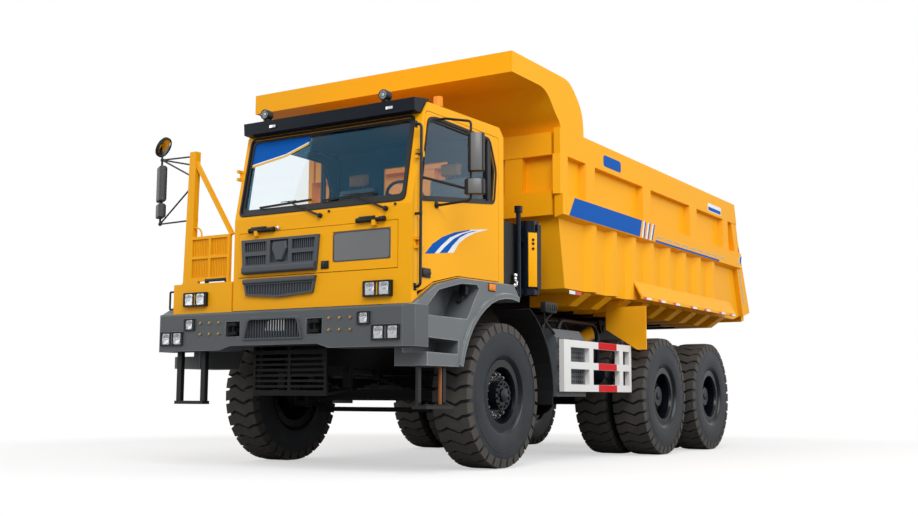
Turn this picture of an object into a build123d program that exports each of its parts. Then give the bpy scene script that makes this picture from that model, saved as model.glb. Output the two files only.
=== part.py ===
from build123d import *
import math
import os

# Mining dump truck, 6x4, with an offset cab, an open ribbed dump body and a cab guard over the cab.
# Millimetres. +X is the truck's left, -Y its front, +Z up, Z = 0 the ground.
# Every length along Y below is measured from the front axle; the export moves the whole truck by y_shift.

os.makedirs("parts", exist_ok=True)

# ---- driving dimensions -------------------------------------------------------------------------
seat_gap = 0.3                # between two rigid pieces that seat on each other
pin_play = 0.05               # radial clearance of a turning fit
front_y = -1800.0             # bumper face
wheelbase = 3700.0            # front axle to first rear axle
tandem = 1770.0               # first to second rear axle
tail_y = 7680.0               # rear lip of the dump body's floor
mirror_left_x = 2055.0        # outer edge of the left mirrors
mirror_right_x = -1960.0      # outer edge of the right mirrors
hook_out = 20.0               # how far the tow hooks stand out of the bumper

tyre_r = 750.0                # over the lugs
tyre_w = 430.0
lug_h = 34.0
lug_count = 22
rim_r = 334.0                 # seat of the tyre on the rim
flange_r = 366.0
front_track_x = 1382.0        # centre of a front tyre
dual_x = 1415.0               # middle of a pair of rear tyres
dual_pitch = 530.0            # between the two tyres of a pair
axle_z = tyre_r

rail_x = 425.0                # centre of a frame rail
rail_w = 90.0
rail_z0 = 1020.0
rail_z1 = 1400.0
web_t = 16.0
pad_h = 15.0                  # rubber pads between rail and body
king_x = front_track_x - 382.0  # kingpin
king_r = 40.0

bumper_z0 = 1190.0
bumper_z1 = 1576.0
bumper_x = 1630.0             # half width over the bevels
bumper_face_x = 1540.0        # half width of the flat face
bumper_d = 300.0              # depth along Y

arch_r = 960.0                # wheel arch in the fender
arch_y = 40.0
arch_z = 790.0
fender_in_x = 1250.0
arch_top = arch_z + arch_r
crest = [(-1720.0, 1575.0), (-1330.0, arch_top + 40), (-900.0, arch_top + 135), (150.0, arch_top + 155)]  # (y, z)

cab_x0 = -620.0               # right wall, outside
cab_x1 = 1570.0               # left wall, outside
cab_y0 = -1700.0              # front panel
cab_y1 = 20.0                 # rear wall
cab_wall = 60.0
cab_floor_z = crest[3][1] + 55
screen_z0 = 2520.0            # where the front starts to lean back
roof_z = 3550.0
brow = (-1530.0, 3400.0)      # (y, z) where the screen meets the roof's front edge
nose = (-1440.0, 3530.0)      # (y, z) of the roof's front corner
firewall_d = 150.0

bed_x = 1800.0                # half width over the side posts
bed_y0 = 900.0                # front wall's frame, upper part
bed_foot_y = 1060.0           # front wall's foot
bed_rail_z = 3745.0           # top of the side
bed_floor_z = 1950.0          # underside of the floor plate
plate = 30.0
post_d = 80.0                 # how far posts and ribs stand out of the plate
belt_z0 = 2756.0
belt_z1 = 3026.0
rail_band_z = 3440.0          # lower edge of the side's top band
bed_top_y = 6990.0            # rear end of the top rail
pivot_y = 6450.0
pivot_z = 1500.0
pivot_r = 45.0
rib_h = 150.0                 # depth of the ribs under the floor
sill_z0 = 1415.0              # underside of the body's sills, on the rails' pads
tail_kick_y = 7050.0          # the floor kicks up behind this
tail_kick = 140.0
tail_bend = (7140.0, 3200.0)  # (y, z) where the side's rear edge bends
rib_pitch = 594.0
rib_y0 = 1650.0
lip_y = -160.0                # front edge of the cab guard
lip_z0 = 4120.0
lip_z1 = 4347.0
guard_half_x = 1776.0

y_shift = -(front_y - hook_out + tail_y) / 2


# ---- helpers ------------------------------------------------------------------------------------
def block(x0, x1, y0, y1, z0, z1):
    return Pos((x0 + x1) / 2, (y0 + y1) / 2, (z0 + z1) / 2) * Box(x1 - x0, y1 - y0, z1 - z0)


def prism_x(points, x0, x1):
    """Outline of (y, z) points, carried along X."""
    face = Plane.YZ.offset(x0) * make_face(Polyline(*points, close=True))
    return extrude(face, x1 - x0)


def prism_y(points, y0, y1):
    """Outline of (x, z) points, carried along Y."""
    face = Plane.XZ.offset(-y1) * make_face(Polyline(*points, close=True))
    return extrude(face, y1 - y0)


def prism_z(points, z0, z1):
    """Outline of (x, y) points, carried along Z."""
    face = Plane.XY.offset(z0) * make_face(Polyline(*points, close=True))
    return extrude(face, z1 - z0)


def rod_x(r, x0, x1, y, z):
    return Pos((x0 + x1) / 2, y, z) * Rot(0, 90, 0) * Cylinder(r, abs(x1 - x0))


def rod_y(r, y0, y1, x, z):
    return Pos(x, (y0 + y1) / 2, z) * Rot(90, 0, 0) * Cylinder(r, abs(y1 - y0))


def rod_z(r, z0, z1, x, y):
    return Pos(x, y, (z0 + z1) / 2) * Cylinder(r, abs(z1 - z0))


def tube_between(r, a, b):
    a, b = Vector(*a), Vector(*b)
    plane = Plane(origin=a, z_dir=b - a)
    return extrude(plane * Circle(r), (b - a).length)


def tube_path(points, r, bend):
    path = FilletPolyline(*points, radius=bend)
    start = Plane(origin=path @ 0, z_dir=path % 0)
    return sweep(start * Circle(r), path=path)


def rounded_top(points, y0, y1, r):
    """Outline of (x, z) points carried along Y, its two top corners rounded."""
    body = prism_y(points, y0, y1)
    return fillet(body.edges().filter_by(Axis.Y).group_by(Axis.Z)[-1], r)


def upright_slats(x0, x1, count, width, y0, y1, z0, z1):
    """Row of narrow upright slats, evenly spread between x0 and x1."""
    pitch = (x1 - x0) / (count + 1)
    return [block(x0 + i * pitch - width / 2, x0 + i * pitch + width / 2, y0, y1, z0, z1) for i in range(1, count + 1)]


def mirrored(shape):
    return mirror(shape, Plane.YZ)


def save(name, *shapes):
    solids = [Pos(0, y_shift, 0) * s for shape in shapes for s in shape.solids()]
    body = solids[0] if len(solids) == 1 else Compound(children=solids)
    export_step(body, f"parts/{name}.step")


# ---- wheels -------------------------------------------------------------------------------------
rim_half = 0.36 * tyre_w + 22


def lug_ring(x0, x1, turn):
    """One half of the tread: a ring whose outline steps out at each lug."""
    root = tyre_r - lug_h
    outline = []
    step = 360.0 / lug_count
    for i in range(lug_count):
        for share, r in ((0.0, root), (0.30, root), (0.36, tyre_r), (0.94, tyre_r)):
            a = math.radians(turn + (i + share) * step)
            outline.append((r * math.cos(a), r * math.sin(a)))
    face = Plane.YZ.offset(x0) * (make_face(Polyline(*outline, close=True)) - Circle(tyre_r - 110))
    return extrude(face, x1 - x0)


def tyre(xc):
    """Tyre about the X axis: two staggered rings of lugs on a bulging carcass."""
    half = tyre_w / 2
    shoulder = tyre_r - lug_h - 6
    right = [(rim_half - 34 - seat_gap, rim_r + seat_gap), (rim_half - 22 - seat_gap, flange_r + seat_gap),
             (rim_half + 2, flange_r + seat_gap), (half - 12, flange_r + 34), (half, flange_r + 130),
             (half - 6, shoulder - 60), (half - 40, shoulder)]
    left = [(-x, r) for x, r in reversed(right)]
    with BuildSketch(Plane.XY) as profile:
        with BuildLine():
            Polyline(*right, *left, close=True)
        make_face()
    carcass = revolve(profile.sketch, Axis.X)
    treads = lug_ring(-half + 8, 0, 0) + lug_ring(0, half - 8, 180.0 / lug_count)
    return Pos(xc, 0, axle_z) * (carcass + treads)


def rim_barrel(xc, half):
    with BuildSketch(Plane.XY) as profile:
        with BuildLine():
            Polyline((-half, rim_r - 42), (-half, flange_r), (-half + 22, flange_r), (-half + 34, rim_r),
                     (half - 34, rim_r), (half - 22, flange_r), (half, flange_r), (half, rim_r - 42),
                     (half - 30, rim_r - 52), (-half + 30, rim_r - 52), close=True)
        make_face()
    return Pos(xc, 0, axle_z) * revolve(profile.sketch, Axis.X)


spindle_r = 70.0
hub_r = 195.0
stud_r = 13.0


def studs(x0, x1, pitch_r, count):
    ring = [rod_x(stud_r, x0, x1, pitch_r * math.cos(a), axle_z + pitch_r * math.sin(a))
            for a in (math.radians(360.0 / count * (i + 0.5)) for i in range(count))]
    return ring


def front_rim(side):
    """Front wheel: barrel, dished disc, and a hub that stands out in the middle."""
    disc_x = front_track_x + 40
    rim = rim_barrel(front_track_x, rim_half)
    rim += rod_x(rim_r - 50, disc_x, disc_x + 26, 0, axle_z)
    rim += rod_x(hub_r + 50, disc_x, disc_x + 60, 0, axle_z)
    rim += rod_x(hub_r - 45, front_track_x - 150, disc_x + 150, 0, axle_z)
    rim += studs(disc_x + 60, disc_x + 88, hub_r + 20, 16)
    rim += studs(disc_x + 150, disc_x + 168, hub_r - 75, 12)
    rim -= rod_x(spindle_r - 10 + pin_play, front_track_x - 160, disc_x + 110, 0, axle_z)
    return rim if side > 0 else mirrored(rim)


def rear_rim(side):
    """Twin rims bolted back to back on one hub."""
    x_out = dual_x + dual_pitch / 2
    x_in = dual_x - dual_pitch / 2
    rim = rim_barrel(x_out, rim_half) + rim_barrel(x_in, rim_half)
    rim += rod_x(rim_r - 50, dual_x - 24, dual_x + 24, 0, axle_z)
    for x0, x1 in ((x_in, dual_x - 20), (dual_x + 20, x_out)):
        ring = rod_x(rim_r - 15, x0, x1, 0, axle_z) - rod_x(rim_r - 52, x0 - 1, x1 + 1, 0, axle_z)
        rim += ring
    rim += rod_x(hub_r, dual_x, x_out + 60, 0, axle_z)
    rim += rod_x(hub_r - 70, dual_x, x_out + 110, 0, axle_z)
    rim += studs(dual_x + 24, dual_x + 54, hub_r + 40, 16)
    rim += studs(x_out + 60, x_out + 76, hub_r - 35, 12)
    rim -= rod_x(spindle_r + pin_play, x_in, x_out, 0, axle_z)
    return rim if side > 0 else mirrored(rim)


sides = (("left", 1), ("right", -1))
rear_axles = (("rear1", wheelbase), ("rear2", wheelbase + tandem))


def wheels():
    for name, side in sides:
        front = tyre(front_track_x)
        save(f"front_tyre_{name}", front if side > 0 else mirrored(front))
        save(f"front_rim_{name}", front_rim(side))
        for axle, y in rear_axles:
            pair = [tyre(side * (dual_x + s * dual_pitch / 2)) for s in (-1, 1)]
            save(f"{axle}_tyres_{name}", *[Pos(0, y, 0) * t for t in pair])
            save(f"{axle}_rims_{name}", Pos(0, y, 0) * rear_rim(side))


# ---- axles, steering, suspension ---------------------------------------------------------------
boss_r = 75.0
ear_h = 60.0
boss_h = 130.0
arm_y = 260.0                 # steering arm's length
arm_z = axle_z - boss_h / 2 - ear_h


def knuckle(side):
    """C-shaped knuckle with its kingpin, spindle and steering arm."""
    x_web = king_x + boss_r + 12
    z0 = axle_z - boss_h / 2 - seat_gap
    z1 = axle_z + boss_h / 2 + seat_gap
    k = block(king_x - 55, x_web, -70, 70, z1, z1 + ear_h)
    k += block(king_x - 55, x_web, -70, 70, z0 - ear_h, z0)
    k += block(x_web, x_web + 50, -95, 95, z0 - ear_h, z1 + ear_h)
    k += rod_z(king_r, z0 - ear_h - 15, z1 + ear_h + 15, king_x, 0)
    k += rod_x(spindle_r + 40, x_web + 50, front_track_x - 155, 0, axle_z)
    k += rod_x(spindle_r - 10, x_web + 40, front_track_x + 100, 0, axle_z)
    k += block(king_x - 30, king_x + 30, 0, arm_y + 40, z0 - ear_h, z0 - ear_h + 40)
    k -= rod_z(18 + pin_play, z0 - ear_h - 60, z0, king_x, arm_y)
    return k if side > 0 else mirrored(k)


def tie_rod():
    z0 = axle_z - boss_h / 2 - seat_gap - ear_h
    rod = rod_x(26, -king_x, king_x, arm_y, z0 - 36)
    for s in (-1, 1):
        rod += rod_z(40, z0 - 66, z0 - seat_gap, s * king_x, arm_y)
        rod += rod_z(18, z0 - 66, z0 + 40, s * king_x, arm_y)
    return rod


def front_axle():
    beam = block(-king_x + 40, king_x - 40, -60, 60, axle_z - 60, axle_z + 60)
    beam -= block(-king_x + 240, king_x - 240, -61, -25, axle_z - 35, axle_z + 35)
    beam -= block(-king_x + 240, king_x - 240, 25, 61, axle_z - 35, axle_z + 35)
    for s in (-1, 1):
        beam += rod_z(boss_r, axle_z - boss_h / 2, axle_z + boss_h / 2, s * king_x, 0)
        beam -= rod_z(king_r + pin_play, axle_z - boss_h, axle_z + boss_h, s * king_x, 0)
        beam += block(s * rail_x - 60, s * rail_x + 60, -80, 80, axle_z + 60, spring_z - seat_gap)
    return beam


spring_z = 830.0
leaf_h = 26.0
leaf_w = 80.0


def leaf_pack(y, half, count, z, up):
    """A stack of leaves, each shorter than the last; up = 1 stacks upwards."""
    pack = None
    for i in range(count):
        reach = half * (1 - 0.8 * i / count)
        z0 = z + up * i * leaf_h
        leaf = block(-leaf_w / 2, leaf_w / 2, y - reach, y + reach, min(z0, z0 + up * leaf_h), max(z0, z0 + up * leaf_h))
        pack = leaf if pack is None else pack + leaf
    return pack


def front_springs():
    half = 620.0
    packs = []
    for s in (-1, 1):
        pack = leaf_pack(0, half, 4, spring_z + 4 * leaf_h, -1)
        for y in (-half, half):
            pack += block(-leaf_w / 2, leaf_w / 2, y - 40, y + 40, spring_z + 3 * leaf_h, rail_z0)
        packs.append(Pos(s * rail_x, 0, 0) * pack)
    return packs


trunnion_y = wheelbase + tandem / 2
rear_tube_r = 115.0


def rear_springs():
    packs = []
    base = axle_z + rear_tube_r + 20
    for s in (-1, 1):
        pack = leaf_pack(trunnion_y, tandem / 2 + 60, 4, base, 1)
        pack += block(-leaf_w / 2, leaf_w / 2, trunnion_y - 170, trunnion_y + 170, base + leaf_h, rail_z0)
        pack += rod_x(90, -leaf_w / 2 - 30, leaf_w / 2 + 30, trunnion_y, base - 60)
        pack += block(-leaf_w / 2, leaf_w / 2, trunnion_y - 90, trunnion_y + 90, base - 60, base)
        packs.append(Pos(s * rail_x, 0, 0) * pack)
    return packs


def rear_axle(y):
    """Banjo housing with its differential, spindles and spring seats."""
    x_drum = dual_x - dual_pitch / 2 - tyre_w / 2 - 20
    a = rod_x(rear_tube_r, -x_drum, x_drum, 0, axle_z)
    a += Pos(0, 0, axle_z) * Sphere(270)
    a += rod_y(150, -330, -150, 0, axle_z)
    for s in (-1, 1):
        a += rod_x(spindle_r, s * (x_drum - 50), s * (dual_x + dual_pitch / 2 - 10), 0, axle_z)
        a += rod_x(250, s * (x_drum - 60), s * x_drum, 0, axle_z)
        seat = block(s * rail_x - 60, s * rail_x + 60, -90, 90, axle_z, axle_z + rear_tube_r + 20 - seat_gap)
        a += seat
    return Pos(0, y, 0) * a


def propshaft():
    """Shafts from the gearbox to the first rear axle and on to the second."""
    shafts = []
    for y0, y1 in ((1250.0, wheelbase - 330 - seat_gap), (wheelbase + 270 + seat_gap, wheelbase + tandem - 330 - seat_gap)):
        shaft = rod_y(60, y0, y1, 0, axle_z)
        for end in (y0, y1 - 50):
            shaft += rod_y(95, end, end + 50, 0, axle_z)
        shafts.append(shaft)
    return shafts


engine_y0 = -1150.0
engine_y1 = 350.0
gearbox_y1 = 1250.0


def engine():
    """Engine and gearbox as one plain block."""
    e = block(-rail_x + rail_w / 2, rail_x - rail_w / 2, engine_y0, engine_y1, 960, 1780)
    e += block(-260, 260, engine_y1, gearbox_y1 - 200, 860, 1330)
    e += rod_y(160, gearbox_y1 - 200, gearbox_y1 - seat_gap, 0, axle_z + 160)
    e += rod_y(110, gearbox_y1 - 200, gearbox_y1 - seat_gap, 0, axle_z)
    e += block(-110, 110, gearbox_y1 - 200, gearbox_y1 - 60, axle_z, axle_z + 160)
    return e


# ---- frame --------------------------------------------------------------------------------------
rail_end_y = 6300.0
rail_start_y = front_y + bumper_d
ear_t = 45.0
sill_w = 120.0
sill_gap = 6.0
cross_ys = (1500.0, 2600.0, 4585.0, 5950.0)


def frame_rails():
    """C-section rails, open inwards, with the pads that carry the dump body."""
    rails = []
    for _, s in sides:
        x0 = s * rail_x - rail_w / 2
        rail = block(x0, x0 + rail_w, rail_start_y, rail_end_y, rail_z0, rail_z1)
        hollow_x0 = x0 if s > 0 else x0 + web_t
        rail -= block(hollow_x0, hollow_x0 + rail_w - web_t, gearbox_y1, rail_end_y + 1, rail_z0 + web_t, rail_z1 - web_t)
        for y in (1700.0, 3000.0, 4300.0, 5600.0):
            rail += block(x0, x0 + rail_w, y, y + 300, rail_z1, rail_z1 + pad_h - seat_gap)
        rails.append(rail)
    return rails


def cross_members():
    reach = rail_x + rail_w / 2 - web_t - seat_gap
    return [block(-reach, reach, y - 60, y + 60, rail_z0 + 90, rail_z1 - 40) for y in cross_ys]


def hinge_bracket():
    """Ears on both faces of each rail end, the hinge pin and the rear cross beam."""
    b = rod_x(pivot_r, -rail_x - rail_w / 2 - ear_t - 40, rail_x + rail_w / 2 + ear_t + 40, pivot_y, pivot_z)
    ear = [(pivot_y - 400, rail_z0 + 20), (pivot_y - 400, rail_z1 - 20), (pivot_y - 90, pivot_z + 60),
           (pivot_y - 30, pivot_z + 95), (pivot_y + 30, pivot_z + 95), (pivot_y + 95, pivot_z + 40),
           (pivot_y + 110, rail_z0 + 20)]
    ear_out = rail_x + sill_w / 2 + sill_gap
    ear_in = rail_x - sill_w / 2 - sill_gap
    for _, s in sides:
        for near, far in ((ear_out, ear_out + ear_t), (ear_in - ear_t, ear_in)):
            x0, x1 = sorted((s * near, s * far))
            b += prism_x(ear, x0, x1)
        for near, far in ((rail_x + rail_w / 2 + seat_gap, ear_out), (ear_in, rail_x - rail_w / 2 - seat_gap)):
            x0, x1 = sorted((s * near, s * far))
            b += block(x0, x1, pivot_y - 390, rail_end_y, rail_z0 + 40, rail_z1 - 40)
    b += block(-rail_x - rail_w, rail_x + rail_w, pivot_y + 30, pivot_y + 110, rail_z0 + 20, rail_z1 - 60)
    return b


def bumper_plan():
    y_back = front_y + bumper_d
    return [(-bumper_x, y_back), (-bumper_x, front_y + 80), (-bumper_face_x, front_y), (bumper_face_x, front_y),
            (bumper_x, front_y + 80), (bumper_x, y_back)]


lamp_low = (1360.0, 320.0, 1248.0, 1392.0)   # (centre x, width, z0, z1) of the twin lamps in the bumper
lamp_high = (1110.0, 150.0, 1392.0 + 6, 1520.0)
notch_z = 1232.0              # underside of the bumper in the middle
hook_x = 520.0
hook_z = 1400.0
grille_low = [(-335.0, 1500.0), (335.0, 1500.0), (385.0, 1285.0), (-385.0, 1285.0)]
grille_corner = 60.0          # radius of the lower grille's top corners
slat_w = 10.0


def bumper():
    b = prism_z(bumper_plan(), bumper_z0, bumper_z1)
    b = chamfer(b.edges().group_by(Axis.Y)[0].sort_by(Axis.Z)[-1], 18)
    notch = [(-700.0, bumper_z0 - 1), (-555.0, notch_z), (555.0, notch_z), (700.0, bumper_z0 - 1)]
    b -= prism_y(notch, front_y - 1, front_y + bumper_d + 1)
    b -= rounded_top(grille_low, front_y - 1, front_y + bumper_d + 1, grille_corner)
    for s in (-1, 1):
        for xc, w, z0, z1 in (lamp_low, lamp_high):
            b -= block(s * xc - w / 2, s * xc + w / 2, front_y - 1, front_y + 70, z0, z1)
        b -= block(s * hook_x - 95, s * hook_x + 95, front_y - 1, front_y + 90, hook_z - 75, hook_z + 75)
        for x in (705.0, 831.0, 957.0):
            for z in (1354.0, 1467.0):
                b -= rod_y(16, front_y - 1, front_y + 14, s * x, z)
    hollow_x = bumper_face_x - 60
    for s in (-1, 1):
        b -= block(min(s * 640, s * hollow_x), max(s * 640, s * hollow_x), front_y + 120, front_y + bumper_d + 1,
                   bumper_z0 + 40, bumper_z1 - 40)
    return b


def bumper_grille():
    """Fine upright slats, set back in a raised frame with rounded top corners."""
    inner = [(x * 0.92, 1388.0 + (z - 1388.0) * 0.84) for x, z in grille_low]
    fit = [(x - math.copysign(seat_gap, x), z - math.copysign(seat_gap, z - 1392.5)) for x, z in grille_low]
    g = rounded_top(fit, front_y - 14, front_y + 60, grille_corner)
    opening = rounded_top(inner, front_y - 15, front_y + 61, grille_corner - 15)
    g -= opening
    field = rounded_top(fit, front_y + 20, front_y + 44, grille_corner)
    for slat in upright_slats(-370, 370, 21, slat_w, front_y + 20, front_y + 44, 1287, 1498):
        g += slat & field
    return g


def tow_hooks():
    hooks = []
    for s in (-1, 1):
        h = block(s * hook_x - 70, s * hook_x + 70, front_y + 60, front_y + 90 - seat_gap, hook_z - 60, hook_z + 60)
        for z in (-45, 45):
            h += block(s * hook_x - 60, s * hook_x + 60, front_y - hook_out, front_y + 62, hook_z + z - 14, hook_z + z + 14)
        h += rod_z(18, hook_z - 72, hook_z + 72, s * hook_x, front_y + 20)
        hooks.append(h)
    return hooks


def bumper_lamps():
    lamps = []
    for s in (-1, 1):
        for xc, w, z0, z1 in (lamp_low, lamp_high):
            body = block(s * xc - w / 2 + seat_gap, s * xc + w / 2 - seat_gap, front_y - 6, front_y + 70 - seat_gap,
                         z0 + seat_gap, z1 - seat_gap)
            zc = (z0 + z1) / 2
            n = 2 if w > 200 else 1
            for i in range(n):
                x = s * xc + (i - (n - 1) / 2) * w / n
                body -= rod_y(0.42 * (z1 - z0), front_y - 7, front_y + 10, x, zc)
            lamps.append(body)
    return lamps


def arc_points(radius, a0, a1, n):
    """Points on the wheel arch; angles from +Y towards +Z."""
    return [(arch_y + radius * math.cos(math.radians(a0 + (a1 - a0) * i / n)),
             arch_z + radius * math.sin(math.radians(a0 + (a1 - a0) * i / n))) for i in range(n + 1)]


box_top_z = 1490.0
deck_x0 = -1460.0
deck_x1 = cab_x0 - 20
deck_z = crest[3][1] - 10


def arch_edge(z):
    """y of the wheel arch's front edge at height z."""
    return arch_y - math.sqrt(arch_r ** 2 - (z - arch_z) ** 2)


def crest_at(y):
    """Height of the fender's top edge at y."""
    for (y0, z0), (y1, z1) in zip(crest, crest[1:]):
        if y <= y1:
            return z0 + (z1 - z0) * (y - y0) / (y1 - y0)
    return crest[-1][1]


def fender(side):
    """Side box with its step opening, step well above it and flared wheel arch."""
    arch = arc_points(arch_r, 166, 78, 10)
    outline = [(-1720.0, 1110.0), (-1510.0, 1020.0), (arch[0][0], 1020.0)] + arch
    outline += [(arch[-1][0] + 20, arch_top + 40)] + list(reversed(crest))
    f = prism_x(outline, fender_in_x, bumper_x - 12)
    rim_band = arch + list(reversed(arc_points(arch_r + 55, 166, 78, 10)))
    f += prism_x(rim_band, bumper_x - 12, bumper_x + 8)
    well_y = arch_edge(box_top_z) - 173
    well = [(-1600.0, box_top_z), (well_y, box_top_z), (well_y + 150, arch_top - 50), (well_y + 230, arch_top + 50),
            (well_y + 190, arch_top + 95), (-900.0, arch_top + 80), (-1310.0, arch_top - 13)]
    f -= prism_x(well, fender_in_x + 60, bumper_x + 1)
    hole_y = arch_edge(1140.0) - 100
    hole = [(-1660.0, 1150.0), (hole_y - 10, 1140.0), (hole_y, 1270.0), (-1660.0, 1285.0)]
    f -= prism_x(hole, fender_in_x + 90, bumper_x + 1)
    f -= block(fender_in_x - 1, bumper_x + 10, front_y - 10, front_y + bumper_d + seat_gap, bumper_z0 - seat_gap,
               bumper_z1 + 1)
    f -= block(fender_in_x - 1, bumper_x + 10, front_y - 10, front_y + bumper_d + seat_gap, 1000, bumper_z0)
    if side < 0:
        f -= block(-deck_x0 - 900, -deck_x0 + seat_gap, cab_y0 - 1, cab_y1 + 1, deck_z - 40 - seat_gap, deck_z + 50)
        f -= block(-deck_x0 - 900, -deck_x0 + seat_gap, cab_y0 - 30, cab_y0 + 40 + seat_gap, bumper_z1, deck_z)
    return f if side > 0 else mirrored(f)


liner_r = 1000.0
liner_t = 12.0


def arch_liner(side):
    """Rubber mudflap behind the front wheel."""
    out = arc_points(liner_r + liner_t, 62, -8, 8)
    inn = arc_points(liner_r, -8, 62, 8)
    liner = prism_x(out + inn, 1150, bumper_x - 12)
    liner += block(rail_x + rail_w / 2 + seat_gap, 1150, 960 + liner_t, 1000, 1150, 1300)
    return liner if side > 0 else mirrored(liner)


def steps(side):
    """Hanging step under the side box."""
    y0, y1 = -1460.0, -1030.0
    st = None
    for y in (y0, y1):
        post = block(1480, 1510, y - 25, y + 25, 640, 1020 - seat_gap)
        st = post if st is None else st + post
    st += block(1440, 1600, y0 - 25, y1 + 25, 620, 650)
    return st if side > 0 else mirrored(st)


def front_ladder():
    """Two hangers and a tread below the right end of the bumper."""
    lad = block(-1423, -1022, front_y + 120, front_y + 220, 650, 684)
    for x in (-1393.0, -1052.0):
        lad += block(x - 30, x + 30, front_y + 145, front_y + 195, 660, bumper_z0 - seat_gap)
    return lad


def cooler_guard():
    """Slatted guard below the bumper, the skid plate behind it and the skid's two hangers."""
    y0 = front_y + bumper_d - 35
    g = block(-470, 470, y0, y0 + 30, 740, 790) + block(-470, 470, y0, y0 + 30, 1150, 1190)
    for x in (-455.0, 0.0, 455.0):
        g += block(x - 15, x + 15, y0, y0 + 30, 740, notch_z - seat_gap)
    for i in range(6):
        z = 820 + i * 54
        g += block(-470, 470, y0 + 4, y0 + 26, z, z + 22)
    back = y0 + 30 + seat_gap
    skid = prism_x([(back, 745), (back, 765), (y0 + 430, 815), (y0 + 430, 800)], -470, 470)
    hangers = [block(s * 425 - 45, s * 425 + 45, y0 + 380, y0 + 430, 815 + seat_gap, rail_z0 - seat_gap) for s in (-1, 1)]
    return [g, skid, *hangers]


# ---- cab ----------------------------------------------------------------------------------------
def cab_outline():
    """(y, z) of the cab's outer skin; its lower edge follows the fender's crest."""
    return [(cab_y0, crest[0][1] + 14), (cab_y0, screen_z0), brow, nose, (cab_y1 - 90, roof_z + 10),
            (cab_y1, roof_z - 80), (cab_y1, crest[3][1] + 7), (crest[2][0], crest[2][1] + 7),
            (crest[1][0], crest[1][1] + 7)]


door_y0 = -1600.0
door_y1 = -90.0
door_gap = 6.0
door_top_z = 3440.0
flap_x0 = -548.0
flap_x1 = 1413.0
flap_z0 = 1924.0
flap_z1 = 2370.0
flap_d = 45.0
hinge_r = 9.0
flap_axis_y = cab_y0 - 28
flap_axis_z = flap_z1 + 20
window_left = [(-1560.0, 2580.0), (-1430.0, 3360.0), (-1310.0, 3392.0), (-280.0, 3385.0), (-150.0, 3080.0),
               (-190.0, 2745.0)]


def door_outline(side, gap):
    """(y, z); gap > 0 gives the opening around the door. The left door's edge clears the rising sill as it swings."""
    if side > 0 and gap > 0:
        low = [(y, crest_at(y) + 14) for y in (door_y0 - gap, crest[1][0], crest[2][0], door_y1 + gap)]
    elif side > 0:
        low = [(y, crest_at(y) + lift) for y, lift in ((door_y0, 65), (door_y0 + 100, 36), (crest[1][0], 27),
                                                       (crest[2][0], 23), (door_y1, 22))]
    else:
        low = [(door_y0 - gap, 1935.0 - gap), (door_y1 + gap, 1935.0 - gap)]
    top = [(door_y1 + gap, door_top_z + gap - 25), (door_y1 - 30 + gap, door_top_z + gap),
           (-1440.0 - gap, door_top_z + gap), (-1480.0 - gap, door_top_z - 25 + gap), (door_y0 - gap, 2700.0)]
    return low + top


screen_x0 = -560.0
screen_x1 = 1480.0


def screen_line(z, off=0.0):
    """y on the leaning front at height z, off mm behind the skin."""
    t = (z - screen_z0) / (brow[1] - screen_z0)
    return cab_y0 + (brow[0] - cab_y0) * t + off


def screen_slab(z0, z1, off0, off1, x0, x1):
    pts = [(screen_line(z0, off0), z0), (screen_line(z1, off0), z1), (screen_line(z1, off1), z1), (screen_line(z0, off1), z0)]
    return prism_x(pts, x0, x1)


def cab_shell():
    """Hollow cab with its openings; the doors, glass and front flap are separate."""
    outer = prism_x(cab_outline(), cab_x0, cab_x1)
    inner_pts = [(cab_y0 + firewall_d, cab_floor_z), (cab_y0 + firewall_d, screen_z0 - 40),
                 (screen_line(screen_z0, cab_wall), screen_z0), (brow[0] + cab_wall, brow[1] - 10),
                 (nose[0] + 40, roof_z - cab_wall - 10), (cab_y1 - 110, roof_z - cab_wall), (cab_y1 - cab_wall, roof_z - 120),
                 (cab_y1 - cab_wall, cab_floor_z)]
    shell = outer - prism_x(inner_pts, cab_x0 + cab_wall, cab_x1 - cab_wall)
    shell -= screen_slab(2560, 3370, -50, cab_wall + 60, screen_x0, screen_x1)
    shell -= block(50, 900, cab_y1 - cab_wall - 1, cab_y1 + 1, 2700, 3280)
    shell -= prism_x(door_outline(1, door_gap), cab_x1 - cab_wall - 1, cab_x1 + 1)
    shell -= prism_x(door_outline(-1, door_gap), cab_x0 - 1, cab_x0 + cab_wall + 1)
    shell -= block(flap_x0 - 6, flap_x1 + 6, cab_y0 - 1, cab_y0 + flap_d + 20, flap_z0 - 6, flap_z1 + 6)
    for x in (flap_x0 + 250, flap_x1 - 250):
        shell += block(x - 60, x - 22, flap_axis_y - 16, cab_y0 + 2, flap_axis_z - 14, flap_axis_z + 30)
        shell += block(x + 22, x + 60, flap_axis_y - 16, cab_y0 + 2, flap_axis_z - 14, flap_axis_z + 30)
        shell += rod_x(hinge_r, x - 60, x + 60, flap_axis_y, flap_axis_z)
    for x_out, s in ((cab_x1, 1), (cab_x0, -1)):
        for z in (2150.0, 3000.0):
            shell += door_lug(x_out, s, z + 27, z + 55, door_y0 - 60)
            shell += door_lug(x_out, s, z - 55, z - 27, door_y0 - 60)
            shell += rod_z(hinge_r, z - 55, z + 55, x_out + s * 18, door_y0 - 3)
    return shell


def door_lug(x_out, s, z0, z1, y_far):
    """Half of a door hinge: from the pin towards y_far along the skin."""
    x1 = x_out + s * 32
    lug = block(min(x_out, x1), max(x_out, x1), y_far, door_y0 - 6, z0, z1)
    lug += block(min(x_out + s * 5, x1), max(x_out + s * 5, x1), y_far, door_y0 + 7, z0, z1)
    return lug


def window_hole(side):
    if side > 0:
        return window_left
    return [(y, max(z, 2600.0)) for y, z in window_left]


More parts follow.
